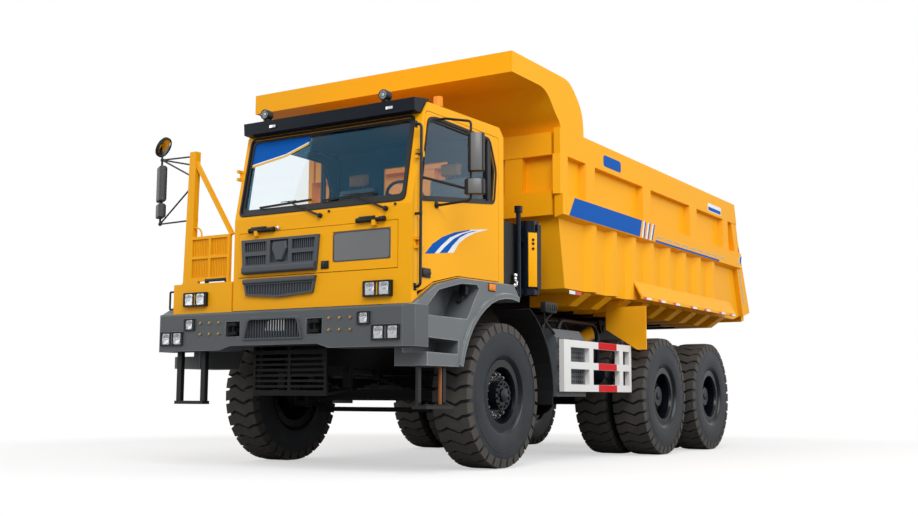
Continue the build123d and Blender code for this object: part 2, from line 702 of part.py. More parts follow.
def shrink(points, d):
    """Outline moved inwards by about d, towards its middle."""
    cy = sum(p[0] for p in points) / len(points)
    cz = sum(p[1] for p in points) / len(points)
    return [(y - math.copysign(d, y - cy), z - math.copysign(d, z - cz)) for y, z in points]


def door(side):
    x_out, s = (cab_x1, 1) if side > 0 else (cab_x0, -1)
    x_in = x_out - s * (cab_wall - 4)
    lo, hi = min(x_out, x_in), max(x_out, x_in)
    d = prism_x(door_outline(side, 0), lo, hi)
    d -= prism_x(window_hole(side), lo - 1, hi + 1)
    d += prism_x([(-300.0, 2650.0), (-270.0, 2650.0), (-270.0, 3420.0), (-300.0, 3420.0)], lo + 15, hi - 15)
    for z in (2150.0, 3000.0):
        x1 = x_out + s * 32
        lug = block(min(x_out, x1), max(x_out, x1), door_y0 + 6, door_y0 + 60, z - 26, z + 26)
        lug += rod_z(16, z - 26, z + 26, x_out + s * 18, door_y0 - 3)
        lug -= rod_z(hinge_r + pin_play, z - 60, z + 60, x_out + s * 18, door_y0 - 3)
        d += lug
    d -= prism_z([(x_out - s * 80, door_y0 - 40), (x_out + s * 1, door_y0 - 40), (x_out + s * 1, door_y0 - 0.1),
                  (x_out - s * 80, door_y0 - 0.1)], 1500, 3600)
    return d


def door_glass(side):
    x_out, s = (cab_x1, 1) if side > 0 else (cab_x0, -1)
    a, b = x_out - s * 26, x_out - s * 34
    g = prism_x(shrink(window_hole(side), seat_gap), min(a, b), max(a, b))
    bar = block(min(a, b) - 60, max(a, b) + 60, -300 - seat_gap, -270 + seat_gap, 2500, 3500)
    return g - bar


def front_flap():
    """Lid on the cab's nose, with the grille let into it."""
    f = block(flap_x0, flap_x1, cab_y0 - 4, cab_y0 + flap_d - 4, flap_z0, flap_z1)
    f -= prism_y(grille_up, cab_y0 - 10, cab_y0 + flap_d + 10)
    f -= block(651, 1337, cab_y0 - 5, cab_y0 + 8, 2010, 2308)
    for x in (flap_x0 + 250, flap_x1 - 250):
        f += block(x - 20, x + 20, flap_axis_y - 20, cab_y0 - 4, flap_z1 - 40, flap_z1)
        f += block(x - 20, x + 20, flap_axis_y - 20, flap_axis_y + 10, flap_z1 - 10, flap_axis_z)
        f += rod_x(20, x - 20, x + 20, flap_axis_y, flap_axis_z)
        f -= rod_x(hinge_r + pin_play, x - 30, x + 30, flap_axis_y, flap_axis_z)
    return f


grille_up = [(-500.0, 2300.0), (500.0, 2300.0), (470.0, 1950.0), (-470.0, 1950.0)]


def front_grille():
    """Four slatted openings about a plain shield, over a rounded bar."""
    fit = [(x - math.copysign(seat_gap, x), z - math.copysign(seat_gap, z - 2125)) for x, z in grille_up]
    g = prism_y(fit, cab_y0 - 30, cab_y0 + 36)
    for z0, z1, side_low, side_high in ((2176.0, 2272.0, 446.0, 455.0), (2046.0, 2134.0, 432.0, 442.0)):
        for s in (-1, 1):
            hole = [(s * 165.0, z0), (s * side_low, z0), (s * side_high, z1), (s * 165.0, z1)]
            hole = prism_y(hole, cab_y0 - 31, cab_y0 + 20)
            g -= hole
            x0, x1 = sorted((s * 165.0, s * side_high))
            for slat in upright_slats(x0, x1, 10, slat_w, cab_y0 - 12, cab_y0 + 21, z0 - 1, z1 + 1):
                g += slat & prism_y(fit, cab_y0 - 30, cab_y0 + 36)
    g -= block(-118, 118, cab_y0 - 31, cab_y0 + 4, 2052, 2280)
    shield = [(-84.0, 2262.0), (84.0, 2262.0), (96.0, 2190.0), (38.0, 2070.0), (-38.0, 2070.0), (-96.0, 2190.0)]
    g += chamfer(prism_y(shield, cab_y0 - 34, cab_y0 + 5).faces().sort_by(Axis.Y)[0].edges(), 10)
    bar = block(-466, 466, cab_y0 - 60, cab_y0 - 29, 1953, 2034)
    g += fillet(bar.edges().filter_by(Axis.X).group_by(Axis.Y)[0], 24)
    return g


def nose_grille():
    """Lower grille on the fixed panel under the flap, pointed at the bottom."""
    outline = [(-465.0, 1900.0), (465.0, 1900.0), (430.0, 1735.0), (0.0, 1705.0), (-430.0, 1735.0)]
    inner = [(-428.0, 1838.0), (428.0, 1838.0), (408.0, 1754.0), (0.0, 1727.0), (-408.0, 1754.0)]
    g = prism_y(outline, cab_y0 - 28, cab_y0 - seat_gap) - prism_y(inner, cab_y0 - 29, cab_y0 - 8)
    for slat in upright_slats(-428, 428, 24, slat_w, cab_y0 - 22, cab_y0 - 7, 1720, 1839):
        g += slat & prism_y(outline, cab_y0 - 28, cab_y0 - 5)
    lip = block(-458, 458, cab_y0 - 46, cab_y0 - 27, 1850, 1897)
    g += fillet(lip.edges().filter_by(Axis.X).group_by(Axis.Y)[0], 15)
    return g


def windscreen():
    return screen_slab(2560 + seat_gap, 3370 - seat_gap, 18, 26, screen_x0 + seat_gap, screen_x1 - seat_gap)


def rear_window():
    return block(50 + seat_gap, 900 - seat_gap, cab_y1 - 34, cab_y1 - 26, 2700 + seat_gap, 3280 - seat_gap)


def visor():
    x0, x1 = cab_x0 + 40, cab_x1 - 20
    v = prism_x([(-1640.0, 3415.0), (-1650.0, 3535.0), (-1400.0, 3572.0), (-1400.0, 3400.0)], x0, x1)
    v -= prism_x(cab_outline(), cab_x0 - 10, cab_x1 + 10)
    return v


def roof_lamps():
    """Two round work lamps on the visor and a beacon at the roof's left corner."""
    lamps = []
    for x in (-300.0, 1190.0):
        z_top = nose[1] + 7
        lamp = block(x - 25, x + 25, -1640, -1600, z_top + 6, z_top + 38)
        lamp += rod_y(52, -1650, -1570, x, z_top + 69)
        lamps.append(lamp)
    base_z = roof_z + 2
    beacon = rod_z(60, base_z - 30, base_z + 45, 1400, -1000) + rod_z(45, base_z + 45, base_z + 150, 1400, -1000)
    lamps.append(beacon - Pos(0, 0, seat_gap) * prism_x(cab_outline(), cab_x0, cab_x1))
    return lamps


def headlamps():
    lamps = []
    for x0, x1, z0, z1 in ((1042, 1366, 1660, 1810), (-1284, -964, 1655, 1800)):
        lamp = block(x0, x1, cab_y0 - 30, cab_y0 - seat_gap, z0, z1)
        for i in (-1, 1):
            lamp -= rod_y(60, cab_y0 - 31, cab_y0 - 18, (x0 + x1) / 2 + i * 80, (z0 + z1) / 2)
        lamps.append(lamp)
    return lamps


def grab_rail():
    """Tall handrail beside the left door."""
    x = cab_x1 + 62
    y = cab_y0 + 55
    return tube_path([(cab_x1 + seat_gap, y, 3270), (x, y, 3270), (x, y, 1740), (cab_x1 + seat_gap, y, 1740)], 14, 40)


def cab_inside():
    seats = []
    for x in (1080.0, -130.0):
        seat = block(x - 260, x + 260, -900, -380, cab_floor_z + 300, cab_floor_z + 430)
        seat += block(x - 200, x + 200, -850, -430, cab_floor_z + seat_gap, cab_floor_z + 300)
        seat += prism_x([(-400.0, cab_floor_z + 380), (-300.0, cab_floor_z + 1080), (-200.0, cab_floor_z + 1080),
                         (-270.0, cab_floor_z + 380)], x - 250, x + 250)
        seat += prism_x([(-300.0, cab_floor_z + 1060), (-290.0, cab_floor_z + 1240), (-200.0, cab_floor_z + 1240),
                         (-200.0, cab_floor_z + 1060)], x - 130, x + 130)
        seats.append(seat)
    return seats


def dashboard():
    y0 = cab_y0 + firewall_d + seat_gap
    d = prism_x([(y0, cab_floor_z + 250), (y0, screen_z0 - 60), (y0 + 330, screen_z0 - 90), (y0 + 380, cab_floor_z + 350),
                 (y0 + 150, cab_floor_z + 250)], cab_x0 + cab_wall + seat_gap, cab_x1 - cab_wall - 12)
    return d


def steering_wheel():
    at = Pos(1080, -1080, 2660) * Rot(-55, 0, 0)
    w = at * Torus(220, 16)
    w += at * Cylinder(45, 40)
    for a in (0, 120, 240):
        w += at * Rot(0, 0, a + 90) * Pos(112, 0, 0) * Box(225, 36, 12)
    w += tube_between(28, (1080, -1080, 2660), (1080, -1270, 2380))
    return w


# ---- right deck and mirrors -----------------------------------------------------------------------
def deck():
    """Walkway right of the cab with its front apron."""
    d = block(deck_x0, deck_x1, cab_y0, cab_y1, deck_z - 40, deck_z)
    d += block(deck_x0, deck_x1, cab_y0, cab_y0 + 40, bumper_z1 + seat_gap, deck_z)
    return d


guard_x0 = -1245.0
guard_x1 = -690.0
guard_z1 = 2390.0


def deck_guard():
    """Guard with four slatted windows over a low slot, a hand loop, the tall post on its foot, and the brace."""
    g = block(guard_x0, guard_x1, cab_y0, cab_y0 + 40, deck_z, guard_z1)
    xm = (guard_x0 + guard_x1) / 2
    zm = (deck_z + 50 + guard_z1) / 2
    g -= block(guard_x0 + 120, guard_x1 - 30, cab_y0 - 1, cab_y0 + 41, deck_z - 1, deck_z + 24)
    for x0, x1 in ((guard_x0 + 30, xm - 15), (xm + 15, guard_x1 - 30)):
        for z0, z1 in ((deck_z + 60, zm - 15), (zm + 15, guard_z1 - 30)):
            g -= block(x0, x1, cab_y0 - 1, cab_y0 + 41, z0, z1)
            for slat in upright_slats(x0, x1, 9, slat_w, cab_y0 + 12, cab_y0 + 28, z0 - 1, z1 + 1):
                g += slat
    g += tube_path([(-1240, cab_y0 + 22, 2490), (-1105, cab_y0 + 22, 2490), (-1105, cab_y0 + 22, guard_z1 - 2)], 9, 80)
    g += prism_y([(-1335.0, deck_z), (-1225.0, deck_z), (-1200.0, 3310.0), (-1290.0, 3310.0)], cab_y0, cab_y0 + 70)
    g += block(-1350, -1210, cab_y0, cab_y0 + 80, deck_z, deck_z + 12)
    g += prism_y([(-1215.0, 3230.0), (-1205.0, 3140.0), (-700.0, 2380.0), (-660.0, 2390.0)], cab_y0 + 10, cab_y0 + 50)
    return g


head_t = 80.0                 # depth of a mirror head
head_corner = 30.0
turn_right = -33.0            # the heads look back towards the driver
turn_left = 24.0


def mirror_head(width, z0, z1, x, y, turn):
    """Mirror housing with rounded corners, turned about its upright axis."""
    head = extrude(RectangleRounded(width, head_t, head_corner), z1 - z0)
    ends = head.edges().group_by(Axis.Z)
    head = chamfer(ends[0] + ends[-1], 10)
    return Pos(x, y, z0) * Rot(0, 0, turn) * head


def head_reach(width, turn):
    """From the middle of a turned head to its outer side."""
    a = math.radians(abs(turn))
    return (width / 2 - head_corner) * math.cos(a) + (head_t / 2 - head_corner) * math.sin(a) + head_corner


def mirrors_right():
    """Two heads and a round one on a spider of rods, clamped to the back of the tall post."""
    width = 190.0
    x = mirror_right_x + head_reach(width, turn_right)
    y = cab_y0 + 157
    back = cab_y0 + 70 + seat_gap
    joint_y = back + 15
    top, low = (x, y, 3316), (x, y, 2600)
    m = mirror_head(width, 2848, 3240, x, y, turn_right) + mirror_head(width - 10, 2668, 2822, x, y, turn_right)
    m += rod_z(12, 2600, 3316, x, y)
    m += block(-1290, -1235, back, back + 24, 2990, 3300) + block(-1305, -1235, back, back + 24, 2565, 2620)
    for z in (3282.0, 3175.0, 3030.0):
        m += tube_between(9, top, (-1262, joint_y, z))
    m += tube_between(9, low, (-1262, joint_y, 3012)) + tube_between(9, low, (-1275, joint_y, 2592))
    for joint in (top, low):
        m += Pos(*joint) * Sphere(20)
    face = Plane(origin=(x, y, 3466), z_dir=(0.838, 0.244, -0.49))
    m += extrude(face * Circle(118), 26)
    m += tube_between(11, top, (x - 6, y, 3466))
    return m


def mirrors_left():
    """Arm on the left door with a tall head and a wide low one, and a brace from the door's front edge."""
    y = -1220.0
    x0 = cab_x1 + seat_gap
    tall, wide = 160.0, 195.0
    x = mirror_left_x - 139
    m = tube_path([(x0, y, 3407), (x0 + 60, y, 3407), (x, y, 3345), (x, y, 2580), (x0 + 60, y - 60, 2552), (x0, y - 60, 2552)],
                  12, 40)
    m += mirror_head(tall, 2850, 3222, mirror_left_x - head_reach(tall, turn_left), y, turn_left)
    m += mirror_head(wide, 2630, 2782, mirror_left_x - head_reach(wide, turn_left), y, turn_left)
    m += tube_path([(x0, -1557, 2772), (x0 + 42, -1557, 2772), (x - 30, y - 25, 2690)], 13, 25)
    return m


def cab_subframe():
    """Cross beams under cab and deck, on posts from the rails."""
    sub = None
    beam_z0 = deck_z - 95
    for y in (-620.0, -60.0):
        reach = fender_in_x - seat_gap
        beam = block(-reach, reach, y - 50, y + 50, beam_z0, deck_z - 40 - seat_gap)
        for x in (-450.0, 450.0, 1100.0):
            beam += block(x - 80, x + 80, y - 50, y + 50, beam_z0, cab_floor_z)
        beam -= Pos(0, 0, -seat_gap) * prism_x(cab_outline(), -reach, reach)
        sub = beam if sub is None else sub + beam
        for s in (-1, 1):
            sub += block(s * rail_x - 45, s * rail_x + 45, y - 50, y + 50, rail_z1 + seat_gap, beam_z0)
    sub -= block(-rail_x + 45, rail_x - 45, engine_y0 - 5, engine_y1 + 5, 900, 1786)
    return sub


# ---- behind the cab and along the sides -----------------------------------------------------------
def cooling_box():
    """Tall intake housing behind the cab, left side."""
    b = block(560, 1500, 140, 420, 1930, 2600)
    b -= block(620, 1440, 139, 160, 1990, 2540)
    b += block(rail_x - 40, rail_x + 40, 180, 380, rail_z1 + seat_gap, 1990)
    b += block(rail_x - 40, 600, 180, 380, 1930, 1990)
    return b


def air_cleaner():
    """Canister with its cover, a thin raised pipe and the bracket that holds them."""
    a = rod_z(110, 1830, 2640, 1560, 600)
    a += block(1500 + seat_gap, 1560, 420 - 100, 640, 1830, 1900)
    a += rod_z(28, 1800, 2720, 1540, 400)
    a += rod_z(45, 2720, 2790, 1540, 400)
    a += block(1500 + seat_gap, 1560, 380, 560, 2400, 2460)
    a += block(1590, 1690, 560, 640, 1890, 2600)
    return a


def side_box():
    """Perforated battery housing, left side, and its two rail brackets."""
    b = prism_y([(1120.0, 740.0), (1640.0, 740.0), (1640.0, 1390.0), (1560.0, 1500.0), (1200.0, 1500.0), (1120.0, 1390.0)],
                1090, 1840)
    return [b, *box_brackets(1, (1200.0, 1700.0))]


def box_brackets(side, ys):
    """Brackets from the rail's outer face to a housing whose inner wall is at 1120."""
    x0, x1 = sorted((side * (rail_x + rail_w / 2 + seat_gap), side * (1120 - seat_gap)))
    return [block(x0, x1, y, y + 80, rail_z0 + 60, rail_z1 - 60) for y in ys]


def side_guard(side):
    """Ladder-shaped side guard: three rails, four uprights, two brackets and a beam from under the rail."""
    x0, x1 = 1720.0, 1780.0
    y0, y1, z0, z1 = 1000.0, wheelbase - tyre_r - 90, 795.0, 1370.0
    g = None
    for z in (z0, (z0 + z1) / 2 - 35, z1 - 80):
        rail = block(x0, x1, y0, y1, z, z + 80)
        g = rail if g is None else g + rail
    for y, w in ((y0, 170.0), (y0 + 650, 110.0), (y1 - 360, 110.0), (y1 - 60, 60.0)):
        g += block(x0, x1, y, y + w, z0, z1)
    for y in (1250.0, 1640.0):
        g += block(1640 + seat_gap, x0, y, y + 80, 1055, 1115)
    beam_y = guard_beam_y
    beam = block(rail_x - 40, x0 - seat_gap, beam_y, beam_y + 80, guard_beam_z - 60, guard_beam_z)
    beam += block(rail_x - 40, rail_x + 40, beam_y, beam_y + 80, 820, rail_z0 - seat_gap)
    return [g, beam] if side > 0 else [mirrored(g), mirrored(beam)]


def fuel_tank():
    """Fuel tank on the right side with its filler cap, and its two rail brackets."""
    b = prism_y([(-1120.0, 740.0), (-1640.0, 740.0), (-1640.0, 1430.0), (-1560.0, 1500.0), (-1200.0, 1500.0),
                 (-1120.0, 1430.0)], 1090, 2350)
    b += rod_z(60, 1500, 1540, -1450, 1350)
    return [b, *box_brackets(-1, (1250.0, 1620.0))]


tank_r = 150.0
guard_beam_z = 880.0          # top of the side guard's beam
tank_z = guard_beam_z + seat_gap + tank_r
tank_y1 = wheelbase - tyre_r - 150
hose_ends = ((1250.0, 1500.0, 2150.0), (1385.0, 1640.0, tank_y1 - 80))   # (x, y on the housing, y on the reservoir)


def air_tanks():
    """Two air reservoirs on saddles over the guard's beam, with a strap and two hose sockets."""
    a = rod_y(tank_r, 1900, tank_y1, 1300, tank_z) + rod_y(tank_r, 1900, tank_y1, 950, tank_z)
    a += block(rail_x + rail_w / 2 + foot_t + seat_gap, 1300, 1940, 1990, 1120, 1180)
    a += block(880, 1370, guard_beam_y, guard_beam_y + 80, guard_beam_z + seat_gap, guard_beam_z + 80)
    for x, _, y in hose_ends:
        a += rod_z(38, tank_z, tank_z + tank_r + 20, x, y)
    return a


def hydraulic_pipes():
    """Two bent hoses from the battery housing's lid to the reservoirs."""
    low = tank_z + tank_r + 20 + seat_gap
    lid = 1500 + seat_gap
    return [tube_path([(x, y0, lid), (x, y0, lid + 125), (x, y1, lid + 125), (x, y1, low)], 27, [110, 180])
            for x, y0, y1 in hose_ends]


def tail_lamps():
    lamps = []
    for s in (-1, 1):
        lamp = block(s * 700 - 110, s * 700 + 110, pivot_y + 20, pivot_y + 90, 1180, 1300)
        x0, x1 = s * (rail_x + sill_w / 2 + sill_gap + ear_t + seat_gap), s * 640
        lamp += block(min(x0, x1), max(x0, x1), pivot_y + 40, pivot_y + 80, 1200, 1260)
        lamps.append(lamp)
    return lamps


# ---- dump body ------------------------------------------------------------------------------------
floor_y0 = bed_foot_y + 90 + plate


def floor_at(y):
    """Height of the floor's underside: level, then kicked up at the tail."""
    return bed_floor_z + max(0.0, (y - tail_kick_y) / (tail_y - tail_kick_y)) * tail_kick


def side_outline():
    return [(bed_y0 + 100, belt_z0), (bed_foot_y + 90, bed_floor_z), (tail_kick_y, bed_floor_z),
            (tail_y - 30, floor_at(tail_y - 30)), tail_bend, (bed_top_y, bed_rail_z), (bed_y0 + 100, bed_rail_z)]


def tail_at(z):
    """y of the side's rear edge at height z."""
    low = (tail_y - 30, floor_at(tail_y - 30))
    a, b = (low, tail_bend) if z < tail_bend[1] else (tail_bend, (bed_top_y, bed_rail_z))
    return a[0] + (b[0] - a[0]) * (z - a[1]) / (b[1] - a[1])


def bed_side(side):
    """Side wall: plate, top band, belt, five upper posts and the row of lower ribs."""
    xi = bed_x - post_d - plate
    xp = bed_x - post_d
    w = prism_x(side_outline(), xi, xp)
    w += prism_x([(bed_y0, rail_band_z), (tail_at(rail_band_z), rail_band_z), (bed_top_y, bed_rail_z), (bed_y0, bed_rail_z)],
                 xp, bed_x)
    belt = [(xp, belt_z0 - 30), (bed_x + 25, belt_z0), (bed_x + 25, belt_z1 - 40), (xp, belt_z1)]
    w += prism_y(belt, bed_y0 + 10, tail_at(belt_z1) - 30)
    for y0, y1 in ((bed_y0, bed_y0 + 190), (1565, 1813), (3272, 3542), (4989, 5274), (6420, 6650)):
        w += prism_z([(xp, y0 - 30), (bed_x, y0), (bed_x, y1), (xp, y1 + 30)], belt_z1 - 40, rail_band_z)
    for i in range(8):
        y = rib_y0 + i * rib_pitch
        w += prism_z([(xp, y), (bed_x - 8, y + 110), (bed_x - 8, y + 210), (xp, y + 290)], bed_floor_z, belt_z0)
    edge = [tail_bend, (bed_top_y, bed_rail_z)]
    tail = [(tail_kick_y + 260, floor_at(tail_kick_y + 260)), (tail_y - 30, floor_at(tail_y - 30)), *edge]
    tail += [(y - 230, z) for y, z in reversed(edge)]
    w += prism_x(tail, xp, bed_x - 8)
    return w if side > 0 else mirrored(w)


def bed_floor():
    """Floor plate, kicked up at the tail."""
    xi = bed_x - post_d - plate - seat_gap
    line = [(floor_y0, bed_floor_z), (tail_kick_y, bed_floor_z), (tail_y, floor_at(tail_y))]
    return prism_x(line + [(y, z + plate) for y, z in reversed(line)], -xi, xi)


def bed_ribs():
    """Cross ribs under the floor, their ends cut upwards, and a beam under the tail."""
    xi = bed_x - post_d - plate - seat_gap
    top = bed_floor_z - seat_gap
    low = bed_floor_z - rib_h
    outline = [(-xi, top), (xi, top), (xi, top - 20), (1500.0, low), (-1500.0, low), (-xi, top - 20)]
    ribs = [prism_y(outline, rib_y0 + i * rib_pitch + 50, rib_y0 + i * rib_pitch + 250) for i in range(9)]
    y1 = tail_y - 20
    beam = [(y1 - 130, floor_at(y1 - 130) - seat_gap), (y1, floor_at(y1) - seat_gap), (y1, floor_at(y1) - 120),
            (y1 - 130, floor_at(y1 - 130) - 120)]
    return ribs + [prism_x(beam, -xi, xi)]


def bed_sills():
    """Sills under the ribs with the hinge eyes, and the fork plates for the cylinders."""
    sills = []
    for _, s in sides:
        x0 = s * rail_x - sill_w / 2
        sill = block(x0, x0 + sill_w, bed_foot_y + 190, pivot_y + 60, sill_z0, bed_floor_z - rib_h - seat_gap)
        sill += rod_x(85, x0, x0 + sill_w, pivot_y, pivot_z)
        sills.append(sill - rod_x(pivot_r + pin_play, x0 - 1, x0 + sill_w + 1, pivot_y, pivot_z))
    return sills


def bed_front():
    """Front wall with its frame: top beam, belt, posts."""
    xi = bed_x - post_d - plate - seat_gap
    yp = bed_y0 + 100
    foot_y = floor_y0 - seat_gap
    plate_pts = [(yp, bed_rail_z - 45), (yp, belt_z0), (foot_y - plate, bed_floor_z), (foot_y, bed_floor_z),
                 (foot_y, bed_floor_z + plate + 5), (yp + plate, belt_z0 + 6), (yp + plate, bed_rail_z - 45)]
    w = prism_x(plate_pts, -xi, xi)
    for z0, z1 in ((rail_band_z, bed_rail_z - 45), (belt_z0, belt_z1)):
        w += block(-xi, xi, bed_y0, yp, z0, z1)
    for x in (-1200.0, 0.0, 1200.0):
        w += block(x - 115, x + 115, bed_y0 + 10, yp, belt_z1, rail_band_z)
    w += prism_x([(bed_y0 + 20, belt_z0), (bed_foot_y, bed_floor_z), (foot_y - plate, bed_floor_z), (yp, belt_z0)], -60, 60)
    return w


def bed_canopy():
    """Cab guard: a curved plate forward over the cab, with a front board and side cheeks."""
    foot = (bed_y0 + 100, bed_rail_z - 45 + seat_gap)
    knee = (420.0, lip_z0)
    under = [Line((lip_y, lip_z0), knee), Spline(knee, (640.0, 4070.0), (840.0, 3890.0), foot, tangents=((1, 0), (0.35, -1)))]
    roof = [Spline((foot[0] + plate, foot[1]), (840.0 + 25, 3890.0 + 17), (640.0 + 15, 4070.0 + 26), (420.0, lip_z0 + plate),
                   tangents=((-0.35, 1), (-1, 0))), Line((420.0, lip_z0 + plate), (lip_y, lip_z0 + plate))]
    skin_face = make_face([*under, Line(foot, (foot[0] + plate, foot[1])), *roof, Line((lip_y, lip_z0 + plate), (lip_y, lip_z0))])
    rear = Spline((1565.0, foot[1]), (1490.0, 4080.0), (1290.0, 4270.0), (980.0, lip_z1), tangents=((0, 1), (-1, 0)))
    cheek_face = make_face([*under, Line(foot, (1565.0, foot[1])), rear, Line((980.0, lip_z1), (lip_y, lip_z1)),
                            Line((lip_y, lip_z1), (lip_y, lip_z0))])
    c = extrude(Plane.YZ.offset(-guard_half_x) * skin_face, 2 * guard_half_x)
    c += block(-guard_half_x, guard_half_x, lip_y, lip_y + plate, lip_z0, lip_z1)
    for x0 in (-guard_half_x, guard_half_x - plate):
        c += extrude(Plane.YZ.offset(x0) * cheek_face, plate)
    inside = bed_x - post_d - plate - seat_gap
    for s in (-1, 1):
        x0, x1 = sorted((s * inside, s * (guard_half_x + 10)))
        c -= block(x0, x1, bed_y0 - 60, 1600, bed_rail_z - 100, bed_rail_z + seat_gap)
    return c


def bed_mudguards():
    """Sloping shelf over the rear wheels and a plate ahead of them."""
    guards = []
    xp = bed_x - 8 + seat_gap
    shelf = [(xp, 2150.0), (xp, 2185.0), (1905.0, 1995.0), (1905.0, 1955.0), (1885.0, 1955.0), (1885.0, 1985.0)]
    rib_low = bed_floor_z - rib_h
    flap = [(1440.0, rib_low), (1500.0, rib_low), (1600.0, rib_low + 60), (1980.0, rib_low + 60), (1980.0, 1320.0),
            (1860.0, 1320.0), (1440.0, 1580.0)]
    y0 = wheelbase - tyre_r - 62 - seat_gap
    for _, s in sides:
        long = prism_y(shelf, wheelbase - tyre_r, wheelbase + tandem + tyre_r + 400)
        plate_ahead = prism_y(flap, y0 - 20, y0) + prism_y([(1440.0, rib_low), (1500.0, rib_low), (1640.0, 1915.0),
                                                            (1640.0, 1945.0), (1440.0, 1945.0)], y0 - 20, y0)
        guards += [long, plate_ahead] if s > 0 else [mirrored(long), mirrored(plate_ahead)]
    return guards


# ---- hoist ------------------------------------------------------------------------------------------
hoist_x = 660.0
hoist_foot = (1900.0, 900.0)      # (y, z) of the lower pin, on the frame
hoist_eye = (4300.0, 1690.0)      # (y, z) of the upper eye, under the body's ribs
hoist_len = math.hypot(hoist_eye[0] - hoist_foot[0], hoist_eye[1] - hoist_foot[1])
barrel_r = 95.0
rod_r = 60.0
foot_t = 60.0
eye_half = rod_r + 6.0
fork_gap = 5.0
guard_beam_y = 2400.0


def hoist_rod(r, d0, d1, x):
    """Round bar along the cylinder's axis, from d0 to d1 mm above the lower pin."""
    uy = (hoist_eye[0] - hoist_foot[0]) / hoist_len
    uz = (hoist_eye[1] - hoist_foot[1]) / hoist_len
    a, b = [(x, hoist_foot[0] + uy * d, hoist_foot[1] + uz * d) for d in (d0, d1)]
    return tube_between(r, a, b)


def hoist_barrel(x):
    b = hoist_rod(barrel_r, 60, hoist_len - 200, x) + rod_x(80, x - 50, x + 50, *hoist_foot)
    b -= rod_x(35 + pin_play, x - 51, x + 51, *hoist_foot)
    b -= hoist_rod(rod_r + 0.5, 140, hoist_len, x)
    return b


def hoist_ram(x):
    return hoist_rod(rod_r, 150, hoist_len - 40, x) + rod_x(75, x - eye_half, x + eye_half, *hoist_eye)


def hoist_feet():
    """Lower pins on brackets bolted to the rails."""
    feet = []
    for _, s in sides:
        x = s * hoist_x
        x0 = s * (rail_x + rail_w / 2 + seat_gap)
        x1 = s * (rail_x + rail_w / 2 + foot_t)
        foot = rod_x(35, x0, x + s * 110, *hoist_foot)
        foot += block(min(x0, x1), max(x0, x1), hoist_foot[0] - 110, hoist_foot[0] + 110, hoist_foot[1] - 70, rail_z0 + 180)
        foot += rod_x(60, x + s * 60, x + s * 110, *hoist_foot)
        feet.append(foot)
    return feet


def hoist_forks():
    """Plates under the body on both sides of each upper eye; the pin's heads show outside them."""
    forks = []
    y, z = hoist_eye
    for _, s in sides:
        for a in (-1, 1):
            x0 = s * hoist_x + a * (eye_half + fork_gap)
            x1 = x0 + a * 30
            top = bed_floor_z - rib_h - seat_gap
            plate_pts = [(y - 180, top), (y + 180, top), (y + 80, z - 70), (y - 80, z - 70)]
            fork = prism_x(plate_pts, min(x0, x1), max(x0, x1))
            fork += rod_x(50, x1, x1 + a * 14, y, z)
            forks.append(fork)
    return forks


# ---- all of it ----------------------------------------------------------------------------------------
def build():
    wheels()
    for name, side in sides:
        save(f"knuckle_{name}", knuckle(side))
        save(f"door_{name}", door(side))
        save(f"door_glass_{name}", door_glass(side))
        save(f"bed_side_{name}", bed_side(side))
        save(f"hoist_barrel_{name}", hoist_barrel(side * hoist_x))
        save(f"hoist_rod_{name}", hoist_ram(side * hoist_x))
    save("tie_rod", tie_rod())
    save("axles", front_axle(), *[rear_axle(y) for _, y in rear_axles])
    save("springs", *front_springs(), *rear_springs())
    save("driveline", engine(), *propshaft())
    save("frame", *frame_rails(), *cross_members())
    save("cab_mounts", cab_subframe())
    save("body_mounts", hinge_bracket(), *hoist_feet())
    save("bumper", bumper())
    save("lower_grilles", bumper_grille(), nose_grille())
    save("cooler_guard", *cooler_guard())
    save("tow_hooks", *tow_hooks())
    save("lamps", *bumper_lamps(), *headlamps(), *roof_lamps(), *tail_lamps())
    save("access_steps", steps(1), front_ladder())
    save("hand_rail", grab_rail())
    save("fenders", fender(1), fender(-1))
    save("arch_liners", arch_liner(1), arch_liner(-1))
    save("side_guards", *side_guard(1), *side_guard(-1))
    save("cab_shell", cab_shell())
    save("cab_glass", windscreen(), rear_window())
    save("front_flap", front_flap())
    save("front_grille", front_grille())
    save("visor", visor())
    save("cab_interior", *cab_inside(), dashboard() + steering_wheel())
    save("deck", deck() + deck_guard())
    save("mirrors_right", mirrors_right())
    save("mirrors_left", mirrors_left())
    save("cooling_box", cooling_box())
    save("air_cleaner", air_cleaner())
    save("side_box", *side_box())
    save("fuel_tank", *fuel_tank())
    save("pipes_and_air_tanks", *hydraulic_pipes(), air_tanks())
    save("bed_floor", bed_floor())
    save("bed_underframe", *bed_ribs(), *bed_sills(), *hoist_forks())
    save("bed_front", bed_front())
    save("bed_canopy", bed_canopy())
    save("bed_mudguards", *bed_mudguards())


build()
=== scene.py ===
import bpy, bmesh, math
from mathutils import Matrix, Vector


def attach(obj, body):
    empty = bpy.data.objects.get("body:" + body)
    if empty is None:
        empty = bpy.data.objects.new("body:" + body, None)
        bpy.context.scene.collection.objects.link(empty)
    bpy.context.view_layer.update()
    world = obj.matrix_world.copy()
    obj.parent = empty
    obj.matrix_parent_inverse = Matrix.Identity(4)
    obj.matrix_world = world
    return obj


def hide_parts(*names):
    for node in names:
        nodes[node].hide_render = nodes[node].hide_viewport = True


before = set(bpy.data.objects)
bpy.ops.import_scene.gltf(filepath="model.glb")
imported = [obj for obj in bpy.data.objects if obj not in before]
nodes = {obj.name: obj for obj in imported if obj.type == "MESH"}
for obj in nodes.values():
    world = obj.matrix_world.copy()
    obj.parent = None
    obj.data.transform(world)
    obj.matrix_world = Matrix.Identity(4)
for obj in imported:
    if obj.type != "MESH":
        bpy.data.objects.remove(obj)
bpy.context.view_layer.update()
shiftY = -2.93  # places below are measured along Y from the front axle
signs = {"Left": 1, "Right": -1}
